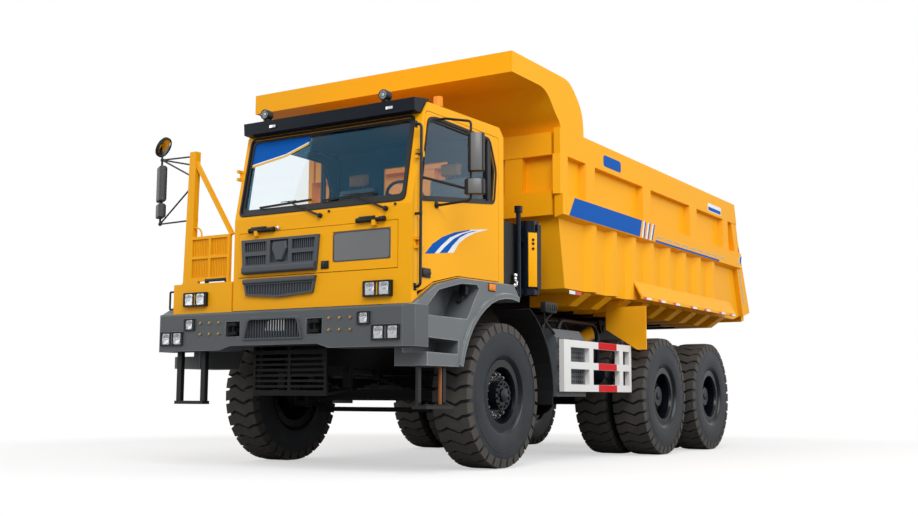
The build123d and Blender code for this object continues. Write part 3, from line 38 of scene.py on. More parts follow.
print("frame loaded:", len(nodes), "nodes")


# shader node groups

def setInputs(tree, node, inputs):  # sockets are linked, and other values set
    for key, value in inputs.items():
        if isinstance(value, bpy.types.NodeSocket):
            tree.links.new(value, node.inputs[key])
        else:
            node.inputs[key].default_value = value
    return node


def addNode(tree, kind, inputs=None, **settings):
    node = tree.nodes.new("ShaderNode" + kind)
    for label, value in settings.items():
        setattr(node, label, value)
    return setInputs(tree, node, inputs or {})


def calc(tree, operation, a, b=0.5, clamp=False):
    return addNode(tree, "Math", {0: a, 1: b}, operation=operation, use_clamp=clamp).outputs[0]


def product(tree, first, *others):
    for value in others:
        first = calc(tree, "MULTIPLY", first, value)
    return first


def mixColor(tree, factor, first, second):
    return addNode(tree, "Mix", {0: factor, 6: first, 7: second}, data_type="RGBA").outputs[2]


def placeOn(tree):  # X, Y and Z on the object
    return addNode(tree, "SeparateXYZ", {0: addNode(tree, "TexCoord").outputs["Object"]}).outputs


def noise(tree, scale, detail):
    vector = addNode(tree, "TexCoord").outputs["Object"]
    return addNode(tree, "TexNoise", {"Scale": scale, "Detail": detail, "Vector": vector}).outputs["Fac"]


def patches(tree, scale, detail, gain, cut):
    return calc(tree, "SUBTRACT", product(tree, noise(tree, scale, detail), gain), cut, True)


def finishGrain(tree, given):  # fine texture of a finish: a shade that drifts and a height
    broad, fine = noise(tree, given["Broad"], 2.0), noise(tree, given["Fine"], 4.0)
    shade = calc(tree, "ADD", product(tree, broad, 0.7), product(tree, fine, 0.3))
    return {"Shade": shade, "Height": fine}


def roadDust(tree, given):  # thick near the ground, thinner above, in patches
    low = calc(tree, "SUBTRACT", 1.0, calc(tree, "DIVIDE", placeOn(tree)["Z"], given["Top"]), True)
    return {"Mask": product(tree, low, patches(tree, given["Patch"], 5.0, 2.4, 0.7), given["Amount"])}


def edgeWearAndHighlight(tree, given):  # bright edges, found where the rounded normal leaves the flat one: rubbed wear on some finishes, a painted highlight along the edges on the fenders and the bumper
    rounded = addNode(tree, "Bevel", {"Radius": given["Radius"]}, samples=4).outputs[0]
    flat = addNode(tree, "NewGeometry").outputs["Normal"]
    dot = addNode(tree, "VectorMath", {0: rounded, 1: flat}, operation="DOT_PRODUCT").outputs["Value"]
    edge = calc(tree, "MULTIPLY", calc(tree, "SUBTRACT", 0.97, dot, True), 8.0, True)
    return {"Mask": product(tree, edge, patches(tree, given["Scale"], 4.0, 2.0, 0.6), given["Amount"])}


def cabLining(tree, given):  # the cab's inner faces and underside, between its walls
    at = placeOn(tree)
    across = calc(tree, "LESS_THAN", calc(tree, "ABSOLUTE", calc(tree, "SUBTRACT", at["X"], 0.475)), given["Half"])
    rise = product(tree, calc(tree, "MAXIMUM", calc(tree, "SUBTRACT", at["Z"], 2.52), 0.0), 0.193)
    front = calc(tree, "GREATER_THAN", calc(tree, "SUBTRACT", at["Y"], rise), given["Front"])
    rear, below = calc(tree, "LESS_THAN", at["Y"], -2.944), calc(tree, "LESS_THAN", at["Z"], 3.515)
    return {"Mask": product(tree, across, front, rear, below)}


def boxMask(tree, given):  # what lies between two places along X and two heights
    at, sides = placeOn(tree), []
    for axis in "XZ":
        sides.append(calc(tree, "GREATER_THAN", at[axis], given["Low" + axis]))
        sides.append(calc(tree, "LESS_THAN", at[axis], given["High" + axis]))
    return {"Mask": product(tree, *sides)}


def shaderGroup(build, inputs):  # a node group named for what builds it
    tree = bpy.data.node_groups.new(build.__name__, "ShaderNodeTree")
    for label, value in inputs.items():
        tree.interface.new_socket(name=label, in_out="INPUT", socket_type="NodeSocketFloat").default_value = value
    results = build(tree, tree.nodes.new("NodeGroupInput").outputs)
    for label in results:
        tree.interface.new_socket(name=label, in_out="OUTPUT", socket_type="NodeSocketFloat")
    setInputs(tree, tree.nodes.new("NodeGroupOutput"), results)
    return tree


groups = {
    "grain": shaderGroup(finishGrain, {"Fine": 60.0, "Broad": 1.5}),
    "dust": shaderGroup(roadDust, {"Top": 1.2, "Patch": 3.0, "Amount": 0.4}),
    "wear": shaderGroup(edgeWearAndHighlight, {"Amount": 1.0, "Scale": 14.0, "Radius": 0.006}),
    "cab": shaderGroup(cabLining, {"Half": 1.062, "Front": -4.597}),
    "box": shaderGroup(boxMask, {"LowX": -1.0, "HighX": 1.0, "LowZ": 0.0, "HighZ": 1.0}),
}


# materials

def useGroup(tree, label, values):
    return addNode(tree, "Group", values, node_tree=groups[label]).outputs


def newMaterial(name):
    mat = bpy.data.materials.new(name)
    mat.use_nodes = True
    return mat, mat.node_tree, mat.node_tree.nodes["Principled BSDF"]


def finish(name, color, rough, shade=None, roughDrift=0.1, fine=60.0, broad=1.5, bump=0.0, bumpHeight=0.001,
           specular=0.5, metal=0.0, coat=0.0, wear=0.0, wearScale=14.0, wearWidth=0.006, wearTint=(0.35, 0.35, 0.36),
           inner=None, innerBox=None, dust=0.0, dustTop=1.3, dustPatch=3.0, dustTint=(0.3, 0.24, 0.17)):
    mat, tree, shader = newMaterial(name)
    grain = useGroup(tree, "grain", {"Fine": fine, "Broad": broad})
    tone = mixColor(tree, grain["Shade"], (*(shade or [c * 0.82 for c in color]), 1), (*color, 1))
    rough = calc(tree, "ADD", product(tree, grain["Shade"], roughDrift), rough, True)
    # bright edges: rubbed wear, and on the fenders and the bumper a painted highlight
    if wear:
        mask = useGroup(tree, "wear", {"Amount": wear, "Scale": wearScale, "Radius": wearWidth})["Mask"]
        tone = mixColor(tree, mask, tone, (*wearTint, 1))
    if inner:  # another color in the cab or inside a box; inside the box under the bed it is painted shade
        limits = dict(zip(("LowX", "HighX", "LowZ", "HighZ"), innerBox or ()))
        mask = useGroup(tree, "box" if innerBox else "cab", limits)["Mask"]
        tone = mixColor(tree, mask, tone, (*inner, 1))
    if dust:
        mask = useGroup(tree, "dust", {"Amount": dust, "Top": dustTop, "Patch": dustPatch})["Mask"]
        tone = mixColor(tree, mask, tone, (*dustTint, 1))
        rough = calc(tree, "ADD", rough, product(tree, mask, 0.4), True)
    setInputs(tree, shader, {"Base Color": tone, "Roughness": rough, "Metallic": metal, "Coat Weight": coat,
                             "Coat Roughness": 0.12, "Specular IOR Level": specular})
    if bump:
        height = addNode(tree, "Bump", {"Strength": bump, "Distance": bumpHeight, "Height": grain["Height"]})
        setInputs(tree, shader, {"Normal": height.outputs[0]})
    return mat


def glassFinish(name, color, rough, transmission, sheen=(1, 1, 1), level=0.5):
    mat, tree, shader = newMaterial(name)
    shade = useGroup(tree, "grain", {"Fine": 30.0, "Broad": 1.0})["Shade"]
    tone = mixColor(tree, shade, (*[c * 0.93 for c in color], 1), (*color, 1))
    setInputs(tree, shader, {"Base Color": tone, "Roughness": product(tree, shade, rough), "Metallic": 0.0,
                             "Transmission Weight": transmission, "IOR": 1.45, "Specular Tint": (*sheen, 1),
                             "Specular IOR Level": level})
    return mat


def look(color, rough, **more):
    return dict(more, color=color, rough=rough)


bodyPaint = look((0.9, 0.41, 0.005), 0.38, shade=(0.85, 0.365, 0.004), specular=0.1, bump=0.05, fine=160.0)
blackPaint = dict(color=(0.01, 0.01, 0.011), specular=0.35, fine=300.0)
paleStripe = dict(rough=0.3, coat=0.2)
looks = {  # color, roughness and what differs from the plain finish
    "truckYellow": look((0.9, 0.412, 0.005), 0.34, shade=(0.86, 0.375, 0.004), specular=0.12, bump=0.03,
                        fine=220.0, dust=0.1, dustTop=2.2, inner=(0.007, 0.058, 0.105)),
    "bodyYellow": dict(bodyPaint, dust=0.12, dustTop=3.0),
    # bed_underframe: the dark inside the box between the frame rails is painted shade under the bed
    "underYellow": dict(bodyPaint, inner=(0.012, 0.009, 0.007), innerBox=(-0.98, 0.98, 1.0, 1.95)),
    # bumper and fenders: their bright edge tint is a painted highlight along the edges
    "bumperGrey": look((0.086, 0.094, 0.101), 0.4, specular=0.35, wear=0.8, wearTint=(0.42, 0.44, 0.45),
                       wearScale=3.0, wearWidth=0.014, bump=0.06, fine=240.0, dust=0.15),
    "fenderGrey": look((0.138, 0.154, 0.162), 0.42, specular=0.35, wear=1.0, wearTint=(0.62, 0.64, 0.65),
                       wearScale=3.0, wearWidth=0.018, bump=0.06, fine=240.0, dust=0.2),
    "frameBlack": look((0.007, 0.007, 0.008), 0.45, shade=(0.004, 0.004, 0.004), specular=0.14, wear=0.2,
                       bump=0.08, fine=90.0, dust=0.03),
    "castGrey": look((0.014, 0.015, 0.016), 0.6, specular=0.2, bump=0.35, fine=70.0, dust=0.05),
    "guardWhite": look((0.78, 0.78, 0.77), 0.35, shade=(0.68, 0.68, 0.67), bump=0.03, fine=120.0, dust=0.3),
    "guardRed": look((0.66, 0.008, 0.014), 0.35, specular=0.06, bump=0.04, fine=120.0, dust=0.2),
    "trimBlack": dict(blackPaint, shade=(0.006, 0.006, 0.007), rough=0.45, bump=0.12),
    "glossBlack": look((0.004, 0.008, 0.015), 0.2, specular=0.16, bump=0.01),
    "boxGrey": look((0.1, 0.115, 0.13), 0.42, wear=0.4, bump=0.08, fine=120.0, dust=0.35),
    "rubberBlack": look((0.018, 0.018, 0.018), 0.7, bump=0.2, fine=120.0, dust=0.3),
    "tyreSide": look((0.019, 0.025, 0.032), 0.36, shade=(0.01, 0.014, 0.019), specular=0.22, roughDrift=0.15,
                     bump=0.12, fine=80.0, broad=3.0, dust=0.25, dustTop=1.5, dustPatch=5.0,
                     dustTint=(0.1, 0.09, 0.08)),
    "tyreTread": look((0.085, 0.075, 0.066), 0.75, shade=(0.036, 0.034, 0.032), specular=0.35, bump=0.5,
                      bumpHeight=0.002, broad=8.0),
    "rimBlack": look((0.004, 0.006, 0.01), 0.2, shade=(0.003, 0.004, 0.006), roughDrift=0.15, specular=0.28,
                     bump=0.04),
    "nutSteel": look((0.42, 0.42, 0.42), 0.28, metal=1.0, bump=0.08, fine=200.0),
    "chrome": look((0.72, 0.73, 0.74), 0.1, metal=1.0, roughDrift=0.05),
    "brass": look((0.5, 0.33, 0.12), 0.35, metal=1.0, bump=0.1, fine=200.0),
    "brightRod": look((0.62, 0.63, 0.64), 0.14, metal=1.0, bump=0.02, fine=400.0),
    "mirrorFace": look((0.75, 0.78, 0.8), 0.03, metal=1.0, roughDrift=0.02),
    "grilleSlate": look((0.062, 0.072, 0.084), 0.4, specular=0.35, bump=0.05, fine=200.0),
    "plateGrey": look((0.16, 0.165, 0.17), 0.35, metal=0.4, bump=0.04, fine=220.0),
    "cabTrim": look((0.05, 0.05, 0.05), 0.65, bump=0.25, fine=260.0),
    "seatCloth": look((0.17, 0.23, 0.27), 0.85, shade=(0.12, 0.17, 0.2), bump=0.5, fine=400.0),
    "seatTan": look((0.5, 0.27, 0.07), 0.8, shade=(0.42, 0.22, 0.06), bump=0.4, fine=400.0),
    "stripeBlue": look((0.002, 0.095, 0.42), 0.4, shade=(0.002, 0.085, 0.38), specular=0.04, bump=0.01),
    "stripeWhite": dict(paleStripe, color=(0.8, 0.82, 0.84)),
    "stripeGrey": dict(paleStripe, color=(0.3, 0.33, 0.36)),
    "reflectRed": look((0.62, 0.03, 0.02), 0.25, bump=0.3, fine=500.0),
    "signalOrange": look((0.9, 0.25, 0.006), 0.3, specular=0.25, bump=0.2, fine=160.0),
    "rustOrange": look((0.36, 0.11, 0.02), 0.5, bump=0.1),
    "mirrorLeft": dict(blackPaint, rough=0.4, bump=0.05),
    "mirrorRight": dict(blackPaint, rough=0.4, bump=0.05, inner=(0.06, 0.062, 0.065),
                        innerBox=(-2.0, -1.76, 2.666, 3.242)),
    "mirrorShell": look((0.145, 0.15, 0.146), 0.33, bump=0.06, fine=240.0),
    "signGold": look((0.75, 0.42, 0.03), 0.35, specular=0.3),
    "shadowGap": look((0.003, 0.003, 0.003), 0.8),
}
mats = {name: finish(name, **look) for name, look in looks.items()}
mats["cabGlass"] = glassFinish("cabGlass", (0.95, 0.985, 1.0), 0.02, 1.0, (0.08, 0.55, 1.0), 1.0)
mats["lensClear"] = glassFinish("lensClear", (0.9, 0.92, 0.94), 0.05, 0.9)
print("materials:", len(mats))


# shape helpers

def quarter(axis, way=1):
    return Matrix.Rotation(way * math.pi / 2, 3, axis)


axisTurns = {"x": quarter("Y"), "y": quarter("X", -1), "z": Matrix.Identity(3)}
spinTurns = {"x": Matrix.Identity(3), "y": quarter("Z"), "z": quarter("Y", -1)}


def alongAxis(axis, along, a, b):  # a place from its height along an axis and its other two coordinates in order
    return {"x": (along, a, b), "y": (a, along, b), "z": (a, b, along)}[axis]


def facesOf(verts):
    return list({f for v in verts if v.is_valid for f in v.link_faces})


def faceOut(bm, verts):
    bmesh.ops.recalc_face_normals(bm, faces=facesOf(verts))


def edgesOf(verts):
    return list({e for v in verts for e in v.link_edges})


def bevelEdges(bm, edges, width, segments=2):
    return bmesh.ops.bevel(bm, geom=edges, offset=width, offset_type="OFFSET", affect="EDGES", segments=segments,
                           profile=0.5, material=-1, clamp_overlap=True)["verts"]


def rotate(bm, verts, matrix, at=(0, 0, 0)):
    bmesh.ops.rotate(bm, matrix=matrix, verts=[v for v in verts if v.is_valid], cent=at)


def turn(bm, verts, degrees, axis="Z", at=(0, 0, 0)):
    rotate(bm, verts, Matrix.Rotation(math.radians(degrees), 3, axis), at)


def move(bm, verts, step):
    bmesh.ops.translate(bm, vec=step, verts=verts)


def addBox(bm, x, y, z, bevel=0.0, segments=2):  # x, y, z are (low, high)
    made = bmesh.ops.create_cube(bm, size=1.0)["verts"]
    bmesh.ops.scale(bm, vec=[high - low for low, high in (x, y, z)], verts=made)
    move(bm, made, [(low + high) / 2 for low, high in (x, y, z)])
    return bevelEdges(bm, edgesOf(made), bevel, segments) if bevel else made


def addCone(bm, radius, radius2, long, sides):
    return bmesh.ops.create_cone(bm, cap_ends=True, cap_tris=False, segments=sides, radius1=radius, radius2=radius2,
                                 depth=long)["verts"]


def addRod(bm, axis, radius, low, high, at, sides=24, bevel=0.0):  # at: the other two coordinates in order
    made = addCone(bm, radius, radius, high - low, sides)
    if bevel:
        caps = [e for e in edgesOf(made) if abs(e.verts[0].co.z - e.verts[1].co.z) < 1e-6]
        made = [v for v in set(bevelEdges(bm, caps, bevel) + made) if v.is_valid]
    rotate(bm, made, axisTurns[axis])
    move(bm, made, alongAxis(axis, (low + high) / 2, *at))
    return made


def addBar(bm, start, end, radius, radius2=None, sides=12):  # a round bar between two points
    a, b = Vector(start), Vector(end)
    made = addCone(bm, radius, radius2 or radius, (b - a).length, sides)
    rotate(bm, made, (b - a).to_track_quat("Z", "Y").to_matrix())
    move(bm, made, (a + b) / 2)
    return made


def pushOut(bm, faces, axis, reach):  # thickens faces along an axis and gives the new vertices
    made = bmesh.ops.extrude_face_region(bm, geom=faces)["geom"]
    tops = [g for g in made if isinstance(g, bmesh.types.BMVert)]
    move(bm, tops, alongAxis(axis, reach, 0, 0))
    return tops


def addPrism(bm, outline, axis, low, high, bevel=0.0, segments=2):  # outline in the other two coordinates
    face = bm.faces.new([bm.verts.new(alongAxis(axis, low, a, b)) for a, b in outline])
    verts = pushOut(bm, [face], axis, high - low) + list(face.verts)
    faceOut(bm, verts)
    return bevelEdges(bm, edgesOf(verts), bevel, segments) if bevel else verts


def addRing(bm, outer, inner, axis, low, high):  # a flat frame between two outlines
    verts, edges = [], []
    for outline in (outer, inner):
        loop = [bm.verts.new(alongAxis(axis, low, a, b)) for a, b in outline]
        edges += [bm.edges.new((loop[i - 1], loop[i])) for i in range(len(loop))]
        verts += loop
    verts += pushOut(bm, bmesh.ops.bridge_loops(bm, edges=edges)["faces"], axis, high - low)
    faceOut(bm, verts)
    return verts


def addSpin(bm, profile, steps=48, axis="x", at=(0, 0, 0)):  # closed profile of (along, radius)
    before = set(bm.verts)
    verts = [bm.verts.new((a, 0, r)) for a, r in profile]
    edges = [bm.edges.new((verts[i], verts[(i + 1) % len(verts)])) for i in range(len(verts))]
    bmesh.ops.spin(bm, geom=verts + edges, cent=(0, 0, 0), axis=(1, 0, 0), dvec=(0, 0, 0), angle=2 * math.pi,
                   steps=steps, use_merge=True)
    made = [v for v in bm.verts if v not in before]
    faceOut(bm, made)
    rotate(bm, made, spinTurns[axis])
    move(bm, made, at)
    return made


def rect(x0, x1, z0, z1):
    return [(x0, z0), (x1, z0), (x1, z1), (x0, z1)]


def insetLoop(outline, distance):  # a closed outline moved inwards
    area = sum(a[0] * b[1] - b[0] * a[1] for a, b in zip(outline, outline[1:] + outline[:1]))
    side = 1 if area > 0 else -1
    moved = []
    for i, place in enumerate(outline):
        here, last, after = Vector(place), Vector(outline[i - 1]), Vector(outline[(i + 1) % len(outline)])
        a, b = (here - last).normalized(), (after - here).normalized()
        normal = Vector((-a.y, a.x)) * side
        half = (normal + Vector((-b.y, b.x)) * side).normalized()
        moved.append(tuple(here + half * (distance / max(half.dot(normal), 0.3))))
    return moved


def roundLoop(outline, radius, steps=4):  # a closed outline with its corners rounded
    loop = []
    for i, corner in enumerate(outline):
        here = Vector(corner)
        last, after = Vector(outline[i - 1]) - here, Vector(outline[(i + 1) % len(outline)]) - here
        reach = min(radius, last.length * 0.45, after.length * 0.45)
        p, q = here + last.normalized() * reach, here + after.normalized() * reach
        for t in [k / steps for k in range(steps + 1)]:
            loop.append(tuple(p * (1 - t) ** 2 + here * (2 * t * (1 - t)) + q * t * t))
    return loop


def span(middle, half):
    return (middle - half, middle + half)


def across(sign, a, b):  # two distances from the middle, low and high on either side
    return sorted((sign * a, sign * b))


def paint(verts, index):
    for f in facesOf(verts):
        f.material_index = index


def lean(verts):  # lays points made for an upright front onto the leaning screen
    for v in verts:
        if v.is_valid and v.co.z > 2.52:
            v.co.y += (v.co.z - 2.52) * 0.17 / 0.88


def toMesh(bm, name):
    mesh = bpy.data.meshes.new(name)
    bm.to_mesh(mesh)
    bm.free()
    return mesh


def addObject(name, data):
    obj = bpy.data.objects.new(name, data)
    bpy.context.scene.collection.objects.link(obj)
    return obj


def piece(bm, name, finishes="trimBlack", body="chassis", replaces=(), smooth=35):
    move(bm, bm.verts, (0, shiftY, 0))
    mesh = toMesh(bm, name)
    obj = addObject(name, mesh)
    for label in ([finishes] if isinstance(finishes, str) else finishes):
        mesh.materials.append(mats[label])
    if smooth:
        mesh.shade_smooth()
        mesh.set_sharp_from_angle(angle=math.radians(smooth))
    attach(obj, body)
    if replaces:
        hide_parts(*replaces)
    return obj


def hose(name, points, radius, finishName="trimBlack"):  # a round hose or bent bar through points
    curve = bpy.data.curves.new(name + "Path", "CURVE")
    curve.dimensions, curve.use_fill_caps = "3D", True
    curve.bevel_depth, curve.bevel_resolution = radius, 3
    spline = curve.splines.new("NURBS")
    spline.points.add(len(points) - 1)
    for point, place in zip(spline.points, points):
        point.co = (*place, 1)
    spline.order_u, spline.use_endpoint_u = 3, True
    carrier = bpy.data.objects.new(name + "Path", curve)
    mesh = bpy.data.meshes.new_from_object(carrier)
    bpy.data.objects.remove(carrier)
    bm = bmesh.new()
    bm.from_mesh(mesh)
    bpy.data.meshes.remove(mesh)
    bmesh.ops.remove_doubles(bm, verts=bm.verts, dist=1e-5)
    faceOut(bm, bm.verts)
    piece(bm, name, finishName, smooth=50)


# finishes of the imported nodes

nodeFinish = {
    "truckYellow": "cab_shell deck door_left door_right front_flap hoist_barrel_left hoist_barrel_right",
    "bodyYellow": "bed_canopy bed_floor bed_front bed_mudguards bed_side_left bed_side_right",
    "underYellow": "bed_underframe", "glossBlack": "air_cleaner pipes_and_air_tanks visor",
    "trimBlack": "access_steps arch_liners cooling_box hand_rail lamps",
    "frameBlack": "axles body_mounts cab_mounts cooler_guard frame springs tow_hooks",
    "castGrey": "driveline knuckle_left knuckle_right tie_rod", "bumperGrey": "bumper", "fenderGrey": "fenders",
    "boxGrey": "fuel_tank side_box", "guardWhite": "side_guards",
    "cabGlass": "cab_glass door_glass_left door_glass_right", "grilleSlate": "front_grille lower_grilles",
    "brightRod": "hoist_rod_left hoist_rod_right", "mirrorLeft": "mirrors_left", "mirrorRight": "mirrors_right",
    "cabTrim": "cab_interior",
}
finishOf = {name: label for label, names in nodeFinish.items() for name in names.split()}
for name, obj in nodes.items():
    obj.data.materials.clear()
    obj.data.materials.append(mats[finishOf.get(name) or ("tyreSide" if "tyre" in name else "rimBlack")])
print("node finishes set")


# tyres

tyre = {"radius": 0.75, "half": 0.2145, "lugs": 32, "groove": 0.027, "depth": 0.034, "bead": 0.408, "frontX": 1.382,
        "dualX": 1.415, "dualPitch": 0.53, "hubZ": 0.75, "rearAxles": (("rear1", 3.7), ("rear2", 5.47))}


def makeLug(top):  # one zigzag block, flat, with its ends dropped over the shoulder
    width = 2 * math.pi * tyre["radius"] / tyre["lugs"] - tyre["groove"]
    right = [(0.07, -0.028), (0.135, 0.006), (0.204, 0.016)]
    wave = [(-x, -s) for x, s in reversed(right)] + [(0.0, 0.0)] + right
    lug = bmesh.new()
    face = lug.faces.new([lug.verts.new((x, s, 0)) for x, s in wave + [(x, s + width) for x, s in reversed(wave)]])
    tops = pushOut(lug, [face], "z", tyre["depth"] + 0.004)
    faceOut(lug, lug.verts)
    for v in tops:
        v.co.y += 0.004 if v.co.y < width / 2 else -0.004
        if abs(v.co.x) > 0.2:
            v.co.z -= 0.008
            v.co.x *= 0.985
    for v in set(lug.verts) - set(tops):
        if abs(v.co.x) > 0.2:
            v.co.z -= 0.062
            v.co.x *= 0.2135 / 0.204
    for v in lug.verts:
        v.co.y = (v.co.y - width / 2) * (1 if v.co.z > -0.03 else 0.9)
    return lug


def makeTyre():
    bm = bmesh.new()
    half, top = tyre["half"], tyre["radius"] - tyre["depth"]
    right = [(0.1205, 0.3345), (0.1325, 0.3665), (0.178, 0.3665), (0.186, 0.372), (0.196, 0.392), (0.203, 0.4),
             (0.2055, 0.412), (0.2105, 0.45)]
    right += [(half - x, r) for x, r in ((0.001, 0.5), (0.0, 0.535), (0.001, 0.575), (0.001, 0.59), (0.004, 0.594),
                                         (0.004, 0.625), (0.008, 0.66), (0.016, 0.69))]
    right += [(0.178, top - 0.012), (0.13, top - 0.002)]
    addSpin(bm, right + [(-x, r) for x, r in reversed(right)], 96)
    for f in bm.faces:
        middle = f.calc_center_median()
        f.material_index = 2 if math.hypot(middle.y, middle.z) < tyre["bead"] else 0
    lug, lugMesh = makeLug(top), bpy.data.meshes.new("lugShape")
    flat = [v.co.copy() for v in lug.verts]
    for i in range(tyre["lugs"]):  # the block is rolled round the crown
        for v, co in zip(lug.verts, flat):
            a, r = 2 * math.pi * i / tyre["lugs"] + co.y / tyre["radius"], top - 0.004 + co.z
            v.co = Vector((co.x, r * math.sin(a), r * math.cos(a)))
        lug.to_mesh(lugMesh)
        first = len(bm.faces)
        bm.from_mesh(lugMesh)
        bm.faces.ensure_lookup_table()
        for f in bm.faces[first:]:
            f.material_index = 1
    lug.free()
    bpy.data.meshes.remove(lugMesh)
    faceOut(bm, bm.verts)
    return toMesh(bm, "tyreShape")


def placeTyres(name, body, node, places, flip):
    bm = bmesh.new()
    for x, y in places:
        start = len(bm.verts)
        bm.from_mesh(tyreMesh)
        bm.verts.ensure_lookup_table()
        made = bm.verts[start:]
        if flip:
            turn(bm, made, 180)
        move(bm, made, (x, y, tyre["hubZ"]))
    piece(bm, name, ["tyreSide", "tyreTread", "rimBlack"], body, replaces=(node,), smooth=30)


tyreMesh = makeTyre()
for side, sign in signs.items():
    low = side.lower()
    placeTyres("frontTyre" + side, "front_wheel_" + low, "front_tyre_" + low, [(sign * tyre["frontX"], 0)], sign < 0)
    for axle, y in tyre["rearAxles"]:
        pair = [(sign * (tyre["dualX"] + k * tyre["dualPitch"] / 2), y) for k in (-1, 1)]
        placeTyres(axle + "Tyres" + side, axle + "_wheels_" + low, axle + "_tyres_" + low, pair, sign < 0)
bpy.data.meshes.remove(tyreMesh)
print("tyres made")


# wheel nuts and hubs

hubs = {  # nuts: out along the axle, ring radius, count, size, length; cap: out, radius, thickness, sides, bevel
    "front": {"nuts": ((0.1, 0.215, 16, 0.019, 0.034), (0.19, 0.12, 12, 0.011, 0.012)),
              "cap": (0.19, 0.07, 0.022, 32, 0.005)},
    "rear": {"nuts": ((0.024, 0.235, 16, 0.019, 0.05), (0.325, 0.16, 12, 0.011, 0.014)),
             "cap": (0.375, 0.05, 0.008, 24, 0.003)},
}


def makeHub(name, body, look, wheelX, y, sign):
    bm = bmesh.new()
    for out, ring, count, size, long in look["nuts"]:
        for i in range(count):
            a = math.pi * (2 * i + 1) / count
            at = (y + ring * math.cos(a), tyre["hubZ"] + ring * math.sin(a))
            for share, reach, sides, bevel in ((1.15, 0.006, 12, 0.0), (1, long * 0.7, 6, 0.0), (0.55, long, 8, 0.002)):
                addRod(bm, "x", size * share, *across(sign, wheelX + out, wheelX + out + reach), at, sides, bevel)
    out, radius, thick, sides, bevel = look["cap"]
    reach = across(sign, wheelX + out, wheelX + out + thick)
    paint(addRod(bm, "x", radius, *reach, (y, tyre["hubZ"]), sides, bevel), 1)
    piece(bm, name, ["nutSteel", "rimBlack"], body)


for side, sign in signs.items():
    makeHub("frontHub" + side, "front_wheel_" + side.lower(), hubs["front"], tyre["frontX"], 0, sign)
    for axle, y in tyre["rearAxles"]:
        makeHub(axle + "Hub" + side, axle + "_wheels_" + side.lower(), hubs["rear"], tyre["dualX"], y, sign)
print("hubs made")


# lamps

lampSets = [  # x and z of the middle, width, height, lamps side by side, face y, paint behind them
    (1.36, 1.32, 0.32, 0.144, 2, -1.806, 1), (-1.36, 1.32, 0.32, 0.144, 2, -1.806, 1),
    (1.11, 1.459, 0.15, 0.122, 1, -1.806, 1), (-1.11, 1.459, 0.15, 0.122, 1, -1.806, 1),
    (1.204, 1.735, 0.324, 0.15, 2, -1.73, 2), (-1.124, 1.7275, 0.32, 0.145, 2, -1.73, 2),
]


def makeLamps():
    shell, bright, lens = bmesh.new(), bmesh.new(), bmesh.new()
    for xc, zc, width, height, count, y, backing in lampSets:
        x0, x1, z0, z1 = xc - width / 2, xc + width / 2, zc - height / 2, zc + height / 2
        insideX, insideZ = (x0 + 0.004, x1 - 0.004), (z0 + 0.004, z1 - 0.004)
        paint(addBox(shell, insideX, (y - 0.0016, y - 0.0004), insideZ), backing)
        edge = roundLoop(rect(x0, x1, z0, z1), 0.012, 3)
        addRing(shell, edge, insetLoop(edge, 0.009), "y", y - 0.009, y + 0.004)
        half = width / count / 2
        size = min(0.34 * height, 0.68 * half)
        bowl = [(-0.003, 0.006)]
        bowl += [(out, size * r) for out, r in ((-0.0034, 0.5), (-0.0072, 0.94), (-0.0078, 1.04), (-0.0028, 1.04))]
        for cx in [x0 + half * (2 * i + 1) for i in range(count)]:
            box = roundLoop(rect(cx - size * 1.22, cx + size * 1.22, zc - size * 1.3, zc + size * 1.3), 0.018)
            addRing(shell, box, insetLoop(box, 0.008), "y", y - 0.008, y - 0.001)
            addPrism(bright, insetLoop(box, 0.0075), "y", y - 0.003, y - 0.0018)
            addSpin(bright, bowl, 28, "y", (cx, y, zc))
            addRod(bright, "y", size * 0.26, y - 0.0074, y - 0.0028, (cx, zc), 16, 0.002)
            addPrism(lens, insetLoop(box, 0.0085), "y", y - 0.0094, y - 0.0082)
            for x in (cx - half + 0.012, cx + half - 0.012):
                addBox(shell, span(x, 0.003), (y - 0.0095, y - 0.001), insideZ, 0.0015, 1)
        for z in (zc - height * 0.42, zc + height * 0.42):
            addBox(shell, insideX, (y - 0.01, y - 0.004), span(z, 0.003), 0.0015, 1)
        for x in [x0 + half * (2 * i + 1) / 3 for i in range(3 * count)]:
            for z in (z0 + 0.005, z1 - 0.005):
                addRod(shell, "y", 0.0055, y - 0.013, y - 0.008, (x, z), 8)
    piece(shell, "lampFrames", ["trimBlack", "bumperGrey", "truckYellow"])
    piece(bright, "lampReflectors", "chrome")
    piece(lens, "lampLenses", "lensClear")


makeLamps()
print("lamps made")


# cab front: rubber round the screen, wipers, visor lamps, flap fittings

cab = {"left": 1.57, "right": -0.62, "front": -1.7, "hingeY": -1.728, "hingeZ": 2.39}


def makeScreenTrim():
    bm, y = bmesh.new(), cab["front"]
    bead = roundLoop(rect(-0.574, 1.494, 2.546, 3.4), 0.07, 5)
    addRing(bm, bead, insetLoop(bead, 0.026), "y", y - 0.006, y + 0.002)
    addRing(bm, insetLoop(bead, 0.006), insetLoop(bead, 0.02), "y", y - 0.01, y - 0.005)
    wide = roundLoop(rect(-0.559, 1.479, 2.561, 3.369), 0.06, 5)
    addRing(bm, wide, roundLoop(rect(-0.517, 1.437, 2.618, 3.345), 0.05, 5), "y", y + 0.006, y + 0.0165)
    lean(bm.verts)
    piece(bm, "screenRubber")


def makeSunStrip():
    bm, y = bmesh.new(), cab["front"]
    edge = [(-0.516, 3.112), (-0.081, 3.184), (0.205, 3.284)]
    bands = [edge + [(0.213, 3.334), (-0.086, 3.344), (-0.516, 3.344)]]
    for up, down in ((0.0, 0.012), (0.012, 0.034)):
        bands.append([(x, z - up) for x, z in edge] + [(x, z - down) for x, z in reversed(edge)])
    for index, band in enumerate(bands):
        paint(addPrism(bm, band, "y", y + 0.014, y + 0.015), index)
    lean(bm.verts)
    piece(bm, "sunStrip", ["stripeBlue", "stripeWhite", "signGold"], smooth=0)


